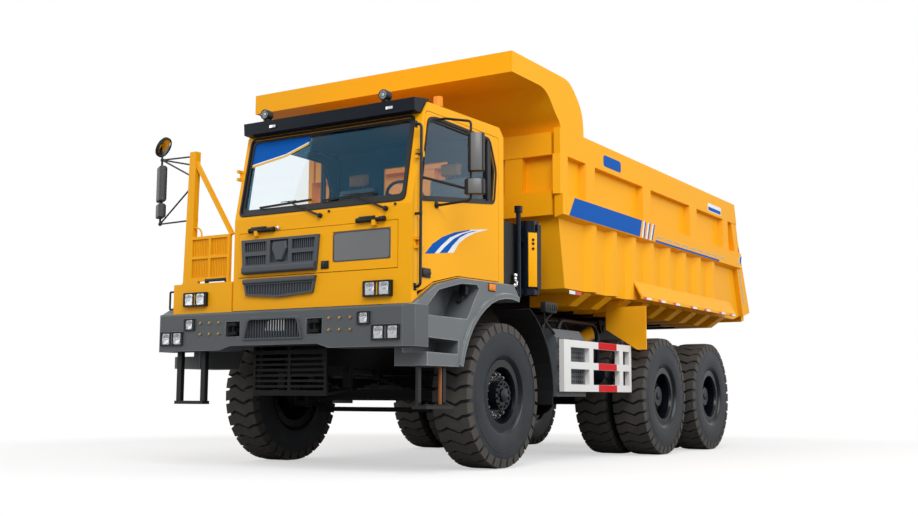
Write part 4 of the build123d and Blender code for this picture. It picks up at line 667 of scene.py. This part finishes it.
def makeWipers():
    bm, y = bmesh.new(), cab["front"]
    for (x0, z0), (x1, z1), (xa, za), (xp, zp) in (
            ((-0.3, 2.632), (0.36, 2.66), (0.08, 2.652), (0.497, 2.481)),
            ((0.5, 2.636), (1.12, 2.662), (0.86, 2.655), (1.28, 2.485))):  # blade's ends, arm's end, pivot
        made = addBar(bm, (x0, y - 0.012, z0), (x1, y - 0.012, z1), 0.006, sides=8)
        rubber = [(x0, z0 - 0.002), (x1, z1 - 0.002), (x1, z1 - 0.014), (x0, z0 - 0.014)]
        made += addPrism(bm, rubber, "y", y - 0.013, y + 0.008)
        made += addBox(bm, span(xa, 0.1), (y - 0.022, y - 0.016), (za + 0.004, za + 0.012), 0.002)
        lean(made)
        addBar(bm, (xp, y - 0.022, zp), (xa, y, za + 0.004), 0.011, 0.006, sides=10)
        addRod(bm, "y", 0.024, y - 0.03, y + 0.001, (xp, zp), 24, 0.004)
        addRod(bm, "y", 0.011, y - 0.038, y - 0.028, (xp, zp), 6, 0.001)
        addRod(bm, "y", 0.012, y - 0.012, y + 0.001, (xp + 0.105, zp + 0.035), 16, 0.003)
        addBox(bm, (xp + 0.095, xp + 0.115), (y - 0.018, y - 0.008), (zp + 0.034, zp + 0.046), 0.002)
    piece(bm, "wipers")


def makeRoofLamps():
    bm, lens = bmesh.new(), bmesh.new()
    for x in (-0.19, 1.266):
        addBox(bm, span(x, 0.048), (-1.6515, -1.644), (3.447, 3.487), 0.004)
        paint(addBox(bm, span(x, 0.04), (-1.6535, -1.65), (3.453, 3.481), 0.002), 1)
    rim = [(-1.648, 0.054), (-1.656, 0.052), (-1.656, 0.045), (-1.65, 0.044), (-1.64, 0.044), (-1.64, 0.054)]
    bowl = [(-1.649, 0.044), (-1.65, 0.043), (-1.6495, 0.016), (-1.654, 0.012), (-1.654, 0.002), (-1.648, 0.002)]
    for x in (-0.3, 1.19):
        addSpin(bm, rim, 36, "y", (x, 0, 3.606))
        paint(addSpin(bm, bowl, 36, "y", (x, 0, 3.606)), 1)
        addRod(lens, "y", 0.0435, -1.6556, -1.6545, (x, 3.606), 36)
    piece(bm, "roofLampFaces", ["trimBlack", "chrome"])
    piece(lens, "roofLampLenses", "lensClear")
    bm = bmesh.new()
    cap = [(3.598, 0.046), (3.598, 0.052), (3.606, 0.052), (3.612, 0.048), (3.69, 0.0475), (3.703, 0.04), (3.708, 0.02),
           (3.7085, 0.001), (3.7025, 0.001), (3.7025, 0.0452), (3.6, 0.0455)]
    addSpin(bm, cap, 40, "z", (1.4, -1.0, 0))
    piece(bm, "beaconCap", "signalOrange")


def makeFlapFittings():
    bm = bmesh.new()
    y, z, front = cab["hingeY"], cab["hingeZ"], cab["front"]
    for x in (-0.2325, 1.119):
        addRod(bm, "x", 0.0215, *span(x, 0.15), (y, z), 20, 0.004)
        for end in span(x, 0.148):
            addRod(bm, "x", 0.0255, *span(end, 0.018), (y, z), 20, 0.005)
        addBox(bm, (x - 0.128, x + 0.062), (y - 0.0235, y + 0.012), (z + 0.006, z + 0.034), 0.006)
    paint(addRod(bm, "y", 0.021, front - 0.018, front + 0.001, (-0.032, 2.4), 28, 0.004), 1)
    paint(addBox(bm, (-0.04, -0.024), (front - 0.014, front - 0.002), (2.372, 2.392), 0.003), 1)
    piece(bm, "flapHingeCovers", ["trimBlack", "chrome"])
    bm = bmesh.new()
    plate = roundLoop(rect(0.655, 1.333, 2.013, 2.305), 0.035, 6)
    addPrism(bm, plate, "y", -1.7005, -1.6925, 0.0015, 1)
    made = addRing(bm, insetLoop(plate, 0.006), insetLoop(plate, 0.011), "y", -1.7025, -1.7)
    for x, z in rect(0.672, 1.316, 2.03, 2.288):
        made += addRod(bm, "y", 0.006, -1.7035, -1.7, (x, z), 12, 0.001)
    made += addBox(bm, (0.52, 0.612), (-1.716, -1.7035), (1.956, 2.034), 0.005)
    made += addBox(bm, (0.532, 0.6), (-1.722, -1.715), (1.966, 2.024), 0.003)
    paint(made + addRod(bm, "y", 0.018, -1.7255, -1.721, (0.566, 1.995), 20, 0.002), 1)
    piece(bm, "flapPanel", ["plateGrey", "trimBlack"], "front_flap")


def makeBumperBolts():
    bm = bmesh.new()
    for x in (-0.957, -0.831, -0.705, 0.705, 0.831, 0.957):
        for z in (1.354, 1.467):
            for radius, low, high, sides in ((0.015, -1.809, -1.8055, 20), (0.0105, -1.8165, -1.8085, 6),
                                             (0.006, -1.819, -1.816, 10)):
                addRod(bm, "y", radius, low, high, (x, z), sides, 0.001)
    piece(bm, "bumperBolts", "brass")


makeScreenTrim()
makeSunStrip()
makeWipers()
makeRoofLamps()
makeFlapFittings()
makeBumperBolts()
print("cab front made")


# doors: rubber round the windows, handles, stripes

doors = {  # outer skin, outwards, body, height of the handle
    "Left": (cab["left"], 1, "door_left", 1.885), "Right": (cab["right"], -1, "door_right", 2.1),
}
windowLoop = [(-1.56, 2.58), (-1.43, 3.36), (-1.31, 3.392), (-0.28, 3.385), (-0.15, 3.08), (-0.19, 2.745)]
windowRings = (  # how far in and how round: outer edge, inner edge; depth from the skin
    (-0.024, 0.07, 0.004, 0.055, 0.0002, 0.0055), (-0.018, 0.066, -0.006, 0.06, 0.005, 0.009),
    (0.0015, 0.055, 0.028, 0.04, -0.024, -0.012),
)
swoosh = [(-1.479, 2.065), (-1.351, 2.172), (-1.176, 2.26), (-0.949, 2.333), (-0.665, 2.394), (-0.318, 2.442),
          (-0.318, 2.438), (-0.568, 2.372), (-0.737, 2.307), (-0.878, 2.228), (-0.97, 2.128)]
blueBands = (
    swoosh[:5] + [(-0.665, 2.385), (-0.879, 2.327), (-1.04, 2.27), (-1.197, 2.172), (-1.317, 2.083)],
    [(-1.23, 2.096), (-1.13, 2.168), (-0.971, 2.266), (-0.808, 2.333), (-0.617, 2.387),
     (-0.519, 2.403), (-0.701, 2.355), (-0.855, 2.292), (-0.994, 2.196), (-1.084, 2.116)],
)


def makeDoorTrim(side, skin, out, body, gripZ):
    def deep(a, b):
        return sorted((skin + out * a, skin + out * b))

    loop = windowLoop
    if out < 0:  # the right window's lower edge rises forwards
        loop = [(y, max(z, 2.6 + 0.145 * (y + 1.56) / 1.37) if z < 2.8 else z) for y, z in windowLoop]
    bm = bmesh.new()
    for far, farRound, near, nearRound, low, high in windowRings:
        outer, inner = roundLoop(insetLoop(loop, far), farRound), roundLoop(insetLoop(loop, near), nearRound)
        addRing(bm, outer, inner, "x", *deep(low, high))
    addPrism(bm, [(-0.318, 2.722), (-0.252, 2.735), (-0.252, 3.372), (-0.318, 3.374)], "x", *deep(-0.022, 0.004), 0.003)
    addRod(bm, "x", 0.034, *deep(0.0002, 0.014), (-1.29, 2.553), 32, 0.005)
    addRod(bm, "x", 0.016, *deep(0.012, 0.021), (-1.29, 2.553), 20, 0.003)
    piece(bm, "doorRubber" + side, body=body)
    bm = bmesh.new()
    addBox(bm, deep(0.0002, 0.012), (-1.552, -1.39), span(gripZ, 0.045), 0.005)
    addBox(bm, deep(0.01, 0.03), (-1.546, -1.47), (gripZ - 0.032, gripZ + 0.034), 0.007)
    addBox(bm, deep(0.012, 0.022), (-1.478, -1.396), (gripZ - 0.012, gripZ + 0.02), 0.005)
    piece(bm, "doorHandle" + side, body=body)
    bm = bmesh.new()
    addPrism(bm, swoosh, "x", *deep(0.0003, 0.0009))
    for band in blueBands:
        paint(addPrism(bm, band, "x", *deep(0.0009, 0.0015)), 1)
    piece(bm, "doorStripes" + side, ["stripeWhite", "stripeBlue"], body, smooth=0)


def makeRailFeet():  # pads that the tall hand rail stands on
    bm = bmesh.new()
    x, y = cab["left"], -1.645
    for z in (1.74, 3.27):
        addBox(bm, (x + 0.0003, x + 0.006), span(y, 0.022), span(z, 0.034), 0.002)
        for up in (-0.026, 0.026):
            addRod(bm, "x", 0.006, x + 0.005, x + 0.01, (y, z + up), 6)
    for z in (2.42, 2.98):
        addRod(bm, "z", 0.0165, *span(z, 0.02), (1.632, y), 20, 0.002)
        addBox(bm, (x + 0.0003, 1.628), span(y, 0.008), span(z, 0.012), 0.002)
    piece(bm, "railFeet")


for side, door in doors.items():
    makeDoorTrim(side, *door)
makeRailFeet()
print("doors made")


# load bed: bands, plates and reflectors

bed = {"belt": 1.8252, "post": 1.8002, "tail": 1.7925, "sill": 1.9052}  # how far out each surface lies


def makeBedStripes(side, sign):
    bm = bmesh.new()

    def plate(outline, x, index):
        paint(addPrism(bm, outline, "x", *across(sign, x, x + 0.0008)), index)

    belt, post, tail = bed["belt"], bed["post"], bed["tail"]
    plate([(1.214, 2.98), (3.173, 2.984), (3.093, 2.763), (1.064, 2.758)], belt, 0)
    for i in range(3):
        low, high = 3.16 + i * 0.135, 3.225 + i * 0.15
        for near, far, index in ((0.0, 0.045, 1), (0.048, 0.085, 0)):
            plate([(low + near, 2.76), (low + far, 2.76), (high + far, 2.982), (high + near, 2.982)], belt, index)
    plate(rect(3.62, 6.136, 2.758, 2.786), belt, 0)
    for i in range(9):
        plate(rect(3.66 + i * 0.31, 3.89 + i * 0.31, 2.815, 2.835), belt, 2)
    plate(roundLoop(rect(5.757, 6.34, 3.48, 3.6), 0.02, 3), post, 1)
    plate(roundLoop(rect(5.775, 6.32, 3.492, 3.545), 0.015, 3), post + 0.0008, 0)
    plate(roundLoop(rect(2.06, 2.58, 3.5, 3.64), 0.05), post, 0)
    plate([(7.15, 2.942), (7.215, 2.942), (7.15, 2.79), (7.095, 2.86)], belt, 0)
    plate([(7.128, 2.942), (7.148, 2.942), (7.093, 2.86), (7.15, 2.788), (7.15, 2.762), (7.07, 2.858)], belt, 1)
    plate([(7.135, 3.085), (7.17, 3.07), (7.205, 3.01), (7.17, 3.01)], tail, 0)
    plate([(7.165, 2.72), (7.195, 2.72), (7.25, 2.578), (7.385, 2.225), (7.35, 2.215), (7.215, 2.57)], tail, 2)
    piece(bm, "bedStripes" + side, ["stripeBlue", "stripeWhite", "stripeGrey"], "dump_body", smooth=0)


def makeBedReflectors(side, sign):
    bm = bmesh.new()
    marks = [(1.1, 1.25, 1.88, 1.92, bed["post"], 0), (1.26, 1.41, 1.88, 1.92, bed["post"], 1)]
    for y in (2.99, 3.48, 4.0, 4.65, 5.2, 5.85, 6.33):
        marks += [(y, y + 0.1, 1.955, 1.985, bed["sill"], 1), (y + 0.105, y + 0.255, 1.955, 1.985, bed["sill"], 0)]
    for y0, y1, z0, z1, x, index in marks:
        paint(addBox(bm, across(sign, x, x + 0.0035), (y0, y1), (z0, z1), 0.001, 1), index)
    piece(bm, "bedReflectors" + side, ["stripeWhite", "reflectRed"], "dump_body", smooth=0)


for side, sign in signs.items():
    makeBedStripes(side, sign)
    makeBedReflectors(side, sign)
print("bed stripes made")


# side fittings: guard bands, canister plate, relay box, fender lamps, perforated box

def makeGuardBands(side, sign):
    bm = bmesh.new()
    for z0, z1 in ((0.796, 0.874), (1.0485, 1.1265), (1.291, 1.369)):
        addBox(bm, across(sign, 1.7795, 1.7812), (1.9, 2.42), (z0, z1))
    piece(bm, "guardBands" + side, "guardRed", smooth=0)


def makeCanisterPlate():
    bm = bmesh.new()
    a, b = Vector((1.615, 0.47)), Vector((1.69, 0.56))
    along = (b - a).normalized()
    out = Vector((along.y, -along.x))
    for start, end, near, far, z0, z1, index, bevel in ((0.0, 0.117, -0.04, 0.0, 1.9, 2.52, 1, 0.006),
                                                        (0.008, 0.109, -0.002, 0.003, 1.915, 2.505, 0, 0.002)):
        outline = [tuple(a + along * s + out * d) for s, d in ((start, near), (end, near), (end, far), (start, far))]
        paint(addPrism(bm, outline, "z", z0, z1, bevel), index)
    for z in (2.33, 2.385, 2.428):
        place = a + along * 0.062 + out * 0.004
        paint(addBar(bm, (*place, z), (*(place + out * 0.006), z), 0.015, sides=20), 1)
    piece(bm, "canisterPlate", ["truckYellow", "glossBlack"])


def makeRelayBox():
    bm = bmesh.new()
    addBox(bm, (1.66, 1.735), (0.665, 0.925), (1.65, 1.765), 0.01)
    for y in (0.7, 0.755, 0.81, 0.865):
        addBox(bm, (1.734, 1.742), (y, y + 0.03), (1.675, 1.742), 0.003)
    addRod(bm, "x", 0.016, 1.734, 1.748, (0.905, 1.71), 16, 0.003)
    for y in (0.7, 0.89):
        addBar(bm, (1.69, y, 1.652), (1.64, 0.795, 1.56), 0.012, sides=10)
    addBar(bm, (1.64, 0.795, 1.57), (1.61, 1.1, 1.44), 0.014, sides=10)
    piece(bm, "relayBox")


def makeFenderLamps():
    bm = bmesh.new()
    for sign in (1, -1):
        addBox(bm, across(sign, 1.6182, 1.634), (-0.376, -0.254), (1.806, 1.876), 0.008)
        for y in (-0.35, -0.315, -0.28):
            addBox(bm, across(sign, 1.632, 1.6365), span(y, 0.014), (1.814, 1.868), 0.004)
        paint(addBox(bm, across(sign, 1.6182, 1.622), (-0.384, -0.246), (1.798, 1.884), 0.002), 1)
    piece(bm, "fenderLamps", ["signalOrange", "trimBlack"])


def makeBatteryBox():  # dark round holes, latches and the lid's line
    bm = bmesh.new()
    for i in range(12):
        for k in range(10):
            addRod(bm, "x", 0.013, 1.6395, 1.6408, (1.15 + 0.055 * i, 0.8 + 0.055 * k), 12)
    piece(bm, "boxHoles", "shadowGap", smooth=0)
    bm = bmesh.new()
    for y in (1.16, 1.46, 1.76):
        addBox(bm, (1.6402, 1.654), span(y, 0.022), (1.345, 1.392), 0.004)
        addRod(bm, "y", 0.008, *span(y, 0.03), (1.65, 1.394), 12)
    addBox(bm, (1.6402, 1.6445), (1.092, 1.838), (1.33, 1.336), 0.001)
    piece(bm, "boxLatches", "plateGrey")


def makeValve():  # drain valve beside the canister
    bm = bmesh.new()
    x, y, z = 1.533, 0.336, 1.955
    for radius, low, high, sides, bevel in ((0.022, 1.9003, 1.935, 6, 0.002), (0.014, 1.93, 2.015, 20, 0.002),
                                            (0.021, 1.975, 2.005, 20, 0.004), (0.026, 2.01, 2.045, 20, 0.006)):
        addRod(bm, "z", radius, low, high, (x, y), sides, bevel)
    addBar(bm, (x, y, z), (1.575, 0.3, z), 0.012)
    addBar(bm, (1.57, 0.304, z), (1.57, 0.304, 1.92), 0.01)
    piece(bm, "drainValve", "chrome")


def makeBottle():  # washer bottle and its hose in the step well
    bm = bmesh.new()
    addBox(bm, (1.468, 1.55), (-0.706, -0.64), (1.735, 1.85), 0.013, 3)
    addRod(bm, "z", 0.019, 1.848, 1.868, (1.509, -0.673), 20, 0.004)
    addBox(bm, (1.462, 1.556), (-0.71, -0.64), (1.786, 1.798), 0.003)
    piece(bm, "washerBottle")
    points = [(1.5, -0.68, 1.74), (1.5, -0.69, 1.7), (1.47, -0.69, 1.668), (1.42, -0.66, 1.668), (1.392, -0.632, 1.69)]
    hose("washerHose", points, 0.01, "rubberBlack")


makeBottle()
makeGuardBands("Left", 1)
makeGuardBands("Right", -1)
makeValve()
makeCanisterPlate()
makeRelayBox()
makeFenderLamps()
makeBatteryBox()
print("side fittings made")


# mirrors, deck and step fittings

mirrors = {  # x, y, turn, width, low and high of each head; the round one's middle and the way it faces
    "Right": ((-1.87, -1.543, -33, 0.19, 2.848, 3.24), (-1.87, -1.543, -33, 0.18, 2.668, 2.822)),
    "Left": ((1.975, -1.22, 24, 0.16, 2.85, 3.222), (1.959, -1.22, 24, 0.195, 2.63, 2.782)),
    "round": ((-1.87, -1.543, 3.466), (0.838, 0.244, -0.49)),
}


def makeMirrorFaces(side, body):  # glass sunk in a dark rim on the rear side of each head
    bm = bmesh.new()
    for x, y, degrees, width, z0, z1 in mirrors[side]:
        half, back = width / 2 - 0.012, y + 0.0402
        outline = roundLoop(rect(x - half, x + half, z0 + 0.012, z1 - 0.012), 0.028, 5)
        rim = addRing(bm, outline, insetLoop(outline, 0.008), "y", back, back + 0.004)
        paint(rim, 1)
        turn(bm, addPrism(bm, insetLoop(outline, 0.008), "y", back, back + 0.0015) + rim, degrees, at=(x, y, 0))
    piece(bm, "mirrorGlass" + side, ["mirrorFace", "rubberBlack"], body)


def makeMirrorShells():  # domed housings in front of the left heads, dark on the inner side: painted shade
    bm = bmesh.new()
    for x, y, degrees, width, z0, z1 in mirrors["Left"]:
        half, angles = width / 2 - 0.003, [math.pi * i / 16 for i in range(17)]
        outline = [(x + half * math.cos(a), y - 0.01 - 0.044 * math.sin(a)) for a in angles]
        made = addPrism(bm, outline, "z", z0 + 0.005, z1 - 0.005, 0.006)
        # faces on the inner side take the black finish as painted shade
        for f in facesOf(made):
            f.material_index = 1 if f.calc_center_median().x < x - half * 0.62 else 0
        turn(bm, made, degrees, at=(x, y, 0))
    piece(bm, "mirrorShellLeft", ["mirrorShell", "trimBlack"], "door_left")


def makeRoundMirror():
    bm = bmesh.new()
    addSpin(bm, [(0.0005, 0.001), (0.0035, 0.001), (0.0035, 0.095), (0.0005, 0.1)], 48, "z")
    paint(addSpin(bm, [(0.0002, 0.099), (0.006, 0.101), (0.006, 0.109), (0.0002, 0.112)], 48, "z"), 1)
    middle, facing = [Vector(v) for v in mirrors["round"]]
    rotate(bm, bm.verts, facing.to_track_quat("Z", "Y").to_matrix())
    move(bm, bm.verts, middle + facing.normalized() * 0.026)
    piece(bm, "mirrorGlassRound", ["mirrorFace", "rubberBlack"])


def makeDeckFittings():
    bm = bmesh.new()
    # a black bar on two posts across the slot at the deck's edge is painted shade for the dark slot
    addBox(bm, (-1.02, -0.722), (-1.704, -1.672), (1.908, 1.94), 0.008)
    for x in (-1.01, -0.732):
        addBox(bm, span(x, 0.014), (-1.7, -1.66), (1.8955, 1.945), 0.004)
    piece(bm, "deckSlotShade")
    loop = [(-1.459, 1.64), (-1.505, 1.64), (-1.532, 1.64), (-1.532, 1.668), (-1.532, 1.797), (-1.532, 1.825),
            (-1.505, 1.825), (-1.459, 1.825)]
    hose("deckLoop", [(x, -1.68, z) for x, z in loop], 0.011)


def makeStep():
    bm = bmesh.new()
    for y, z in rect(-1.46, -1.03, 0.672, 1.08):
        addRod(bm, "x", 0.011, 1.51, 1.522, (y, z), 6, 0.001)
    addBox(bm, (1.446, 1.594), (-1.455, -1.035), (0.6502, 0.656), 0.001)
    for i in range(9):
        addBox(bm, (1.452, 1.588), (-1.445 + 0.045 * i, -1.425 + 0.045 * i), (0.655, 0.661), 0.001)
    piece(bm, "stepTread", "frameBlack")
    bm = bmesh.new()
    addRod(bm, "z", 0.017, 0.656, 1.083, (1.495, -1.085), 20, 0.002)
    piece(bm, "stepBar", "rustOrange")


def makeTailLenses():  # white, orange and red from the middle outwards
    bm = bmesh.new()
    for sign in (1, -1):
        for i in range(3):
            x = 0.6 + i * 0.2 / 3
            made = addBox(bm, across(sign, x + 0.004, x + 0.2 / 3 - 0.004), (6.5402, 6.552), (1.19, 1.29), 0.005)
            paint(made, i)
        edge = rect(*across(sign, 0.594, 0.806), 1.182, 1.298)
        paint(addRing(bm, edge, insetLoop(edge, 0.008), "y", 6.5402, 6.547), 3)
    piece(bm, "tailLenses", ["stripeWhite", "signalOrange", "reflectRed", "trimBlack"])


makeMirrorFaces("Right", "chassis")
makeMirrorFaces("Left", "door_left")
makeMirrorShells()
makeRoundMirror()
makeDeckFittings()
makeStep()
makeTailLenses()
print("mirrors, steps and tail lamps made")


# inside the cab: dashboard, wheel and two padded seats

inside = {"seatX": (1.08, -0.13), "floor": 1.96, "wheelX": 1.08, "wheelTilt": -55, "wheelRadius": 0.22}


def makeDashboard():
    bm = bmesh.new()
    outline = [(-1.549, 2.21), (-1.549, 2.462), (-1.4, 2.475), (-1.25, 2.44), (-1.205, 2.415), (-1.172, 2.33),
               (-1.4, 2.212)]
    addPrism(bm, outline, "x", -0.556, 1.496, 0.012, 3)
    hood = [(-1.48, 2.455), (-1.44, 2.54), (-1.3, 2.56), (-1.225, 2.52), (-1.235, 2.42)]
    addPrism(bm, hood, "x", 0.83, 1.33, 0.018, 3)
    for x in (0.05, 0.3, 0.55):
        addRod(bm, "y", 0.045, -1.232, -1.192, (x, 2.382), 24, 0.004)
    for x in inside["seatX"]:  # seat box, bellows, pan, back plate and head rest's bars
        addBox(bm, span(x, 0.2), (-0.85, -0.43), (inside["floor"] + 0.0005, 2.12), 0.012)
        for i in range(5):
            grow, z = 0.008 * (i % 2), 2.116 + 0.024 * i
            addBox(bm, (x - 0.18 - grow, x + 0.18 + grow), (-0.83 - grow, -0.45 + grow), (z, z + 0.026), 0.006)
        addBox(bm, span(x, 0.235), (-0.87, -0.395), (2.236, 2.262), 0.01)
        addPrism(bm, [(-0.33, 2.3), (-0.262, 3.03), (-0.212, 3.03), (-0.286, 2.3)], "x", *span(x, 0.225), 0.015, 3)
        for side in span(x, 0.06):
            addBar(bm, (side, -0.252, 3.01), (side, -0.25, 3.08), 0.008)
    piece(bm, "cabFurniture", "cabTrim", replaces=("cab_interior",))


def makeSteeringWheel():
    bm = bmesh.new()
    x, radius = inside["wheelX"], inside["wheelRadius"]
    angles = [2 * math.pi * k / 12 for k in range(12)]
    addSpin(bm, [(0.016 * math.cos(a), radius + 0.016 * math.sin(a)) for a in angles], 64, "z")
    addSpin(bm, [(-0.02, 0.001), (-0.02, 0.04), (0.004, 0.052), (0.02, 0.044), (0.026, 0.001)], 32, "z")
    for a in [math.radians(90 + 120 * k) for k in range(3)]:
        c, s = math.cos(a), math.sin(a)
        addBar(bm, (0.03 * c, 0.03 * s, 0.004), (0.212 * c, 0.212 * s, 0.0), 0.013, 0.01)
    turn(bm, bm.verts, inside["wheelTilt"], "X")
    move(bm, bm.verts, (x, -1.08, 2.66))
    addBar(bm, (x, -1.09, 2.65), (x, -1.262, 2.4), 0.028, 0.034, sides=20)
    piece(bm, "steeringWheel")


def bakedMesh(obj):
    return bpy.data.meshes.new_from_object(obj.evaluated_get(bpy.context.evaluated_depsgraph_get()))


def swell(mesh, voxel, pressure, most):  # the cover is blown up a little round its filling
    scene = bpy.context.scene
    obj = addObject("padCover", mesh)
    remesh = obj.modifiers.new("remesh", "REMESH")
    remesh.mode, remesh.voxel_size = "VOXEL", voxel
    rest = bakedMesh(obj)
    obj.modifiers.clear()
    obj.data = rest
    cloth = obj.modifiers.new("cloth", "CLOTH")
    cloth.settings.quality = 4
    cloth.settings.use_pressure = True
    cloth.settings.uniform_pressure_force = pressure
    cloth.settings.effector_weights.gravity = 0
    cloth.point_cache.frame_start, cloth.point_cache.frame_end = 1, 20
    for i in range(1, 21):
        scene.frame_set(i)
    blown = bakedMesh(obj)
    for before, after in zip(rest.vertices, blown.vertices):
        step = after.co - before.co
        if step.length > most:
            after.co = before.co + step * (most / step.length)
    obj.modifiers.clear()
    obj.data = blown
    scene.frame_set(1)
    smooth = obj.modifiers.new("smooth", "SUBSURF")
    smooth.levels = smooth.render_levels = 1
    final = bakedMesh(obj)
    bpy.data.objects.remove(obj)
    return final


def sewn(mesh, lines, axis, depth=0.007, width=0.011):  # channels pressed in along one coordinate
    for v in mesh.vertices:
        near = min(abs(v.co[axis] - line) for line in lines)
        if near < width:
            v.co -= v.normal * depth * (1 - (near / width) ** 2) ** 2


pads = {  # low and high corner round the seat's middle, voxel, channels (axis, lines), turn about X, finish
    "Cushion": ((-0.242, -0.885, 2.268), (0.242, -0.4, 2.378), 0.011, 0, (-0.14, 0.14), 0.0, "seatCloth"),
    "Back": ((-0.232, -0.378, 2.4), (0.232, -0.3, 3.025), 0.011, 2, (2.55, 2.72, 2.89), -5.4, "seatCloth"),
    "Head": ((-0.12, -0.288, 3.058), (0.12, -0.212, 3.19), 0.008, 0, (9.0,), 0.0, "seatTan"),
}


def makeSeats():
    for label, (low, high, voxel, axis, lines, degrees, cover) in pads.items():
        filling = bmesh.new()
        x, y, z = zip(low, high)
        addBox(filling, x, y, z, min(0.035, (z[1] - z[0]) * 0.3, (y[1] - y[0]) * 0.3), 4)
        shape = swell(toMesh(filling, "padFilling"), voxel, 4.0, 0.008)
        sewn(shape, lines, axis)
        for side, x in zip(("Left", "Right"), inside["seatX"]):
            bm = bmesh.new()
            bm.from_mesh(shape)
            turn(bm, bm.verts, degrees, "X", (0, -0.33, 2.4))
            move(bm, bm.verts, (x, 0, 0))
            pad = piece(bm, "seat" + label + side, cover, smooth=60)


makeDashboard()
makeSteeringWheel()
makeSeats()
print("cab inside made")


# camera, floor and light

view = {"place": (7.389, -13.207, 0.737), "yaw": 31.74, "pitch": 6.96, "roll": 0.19, "lens": 44.47}
studio = {  # strength of the world; power, place and size of the lights
    "world": 0.68, "key": (1700, (9, -13, 12), 9), "fill": (260, (-10, -9, 6), 8), "side": (1050, (16, 3, 7), 9),
}


def makeCamera():
    data = bpy.data.cameras.new("camera")
    data.lens, data.sensor_width, data.clip_end = view["lens"], 36, 200
    cam = addObject("camera", data)
    cam.matrix_world = Matrix.Translation(view["place"])
    for degrees, axis in ((view["yaw"], "Z"), (90 + view["pitch"], "X"), (view["roll"], "Z")):
        cam.matrix_world = cam.matrix_world @ Matrix.Rotation(math.radians(degrees), 4, axis)
    bpy.context.scene.camera = cam


def makeStudio():
    scene = bpy.context.scene
    scene.view_settings.view_transform = "Standard"
    scene.world = bpy.data.worlds.new("studio")
    scene.world.use_nodes = True
    tree = scene.world.node_tree
    tree.nodes.clear()
    soft = addNode(tree, "Background", {0: (1, 1, 1, 1), 1: studio["world"]}).outputs[0]
    white = addNode(tree, "Background", {0: (1, 1, 1, 1), 1: 1.0}).outputs[0]
    path = addNode(tree, "LightPath").outputs
    seen = calc(tree, "ADD", path["Is Camera Ray"], path["Is Transmission Ray"], True)
    seen = calc(tree, "ADD", seen, path["Is Glossy Ray"], True)
    addNode(tree, "OutputWorld", {0: addNode(tree, "MixShader", {0: seen, 1: soft, 2: white}).outputs[0]})
    for name in ("key", "fill", "side"):
        power, place, size = studio[name]
        light = bpy.data.lights.new(name, "AREA")
        light.energy, light.size = power, size
        lamp = addObject(name, light)
        lamp.location = place
        lamp.rotation_euler = (Vector((0, 0, 1.6)) - Vector(place)).to_track_quat("-Z", "Y").to_euler()


def makeFloor():
    bm = bmesh.new()
    bmesh.ops.create_grid(bm, x_segments=2, y_segments=2, size=60)
    floor = addObject("floor", toMesh(bm, "floor"))
    mat, tree, shader = newMaterial("paleFloor")
    ray = addNode(tree, "LightPath").outputs["Is Camera Ray"]
    tone = mixColor(tree, ray, (0.28, 0.28, 0.28, 1), (0.9, 0.9, 0.9, 1))  # pale to see, but little light goes back up
    setInputs(tree, shader, {"Base Color": tone, "Roughness": 0.9, "Specular IOR Level": 0.0})
    glow = addNode(tree, "Emission", {0: (1, 1, 1, 1), 1: 1.0})
    place = addNode(tree, "TexCoord").outputs["Object"]
    reach = addNode(tree, "VectorMath", {0: place}, operation="LENGTH").outputs["Value"]
    fade = calc(tree, "MULTIPLY", calc(tree, "SUBTRACT", reach, 4.0), 0.2, True)
    seen = calc(tree, "MULTIPLY", calc(tree, "MAXIMUM", fade, 0.55), ray, True)
    mix = addNode(tree, "MixShader", {0: seen, 1: shader.outputs[0], 2: glow.outputs[0]})
    setInputs(tree, tree.nodes["Material Output"], {"Surface": mix.outputs[0]})
    floor.data.materials.append(mat)


makeCamera()
makeStudio()
makeFloor()
print("studio set")
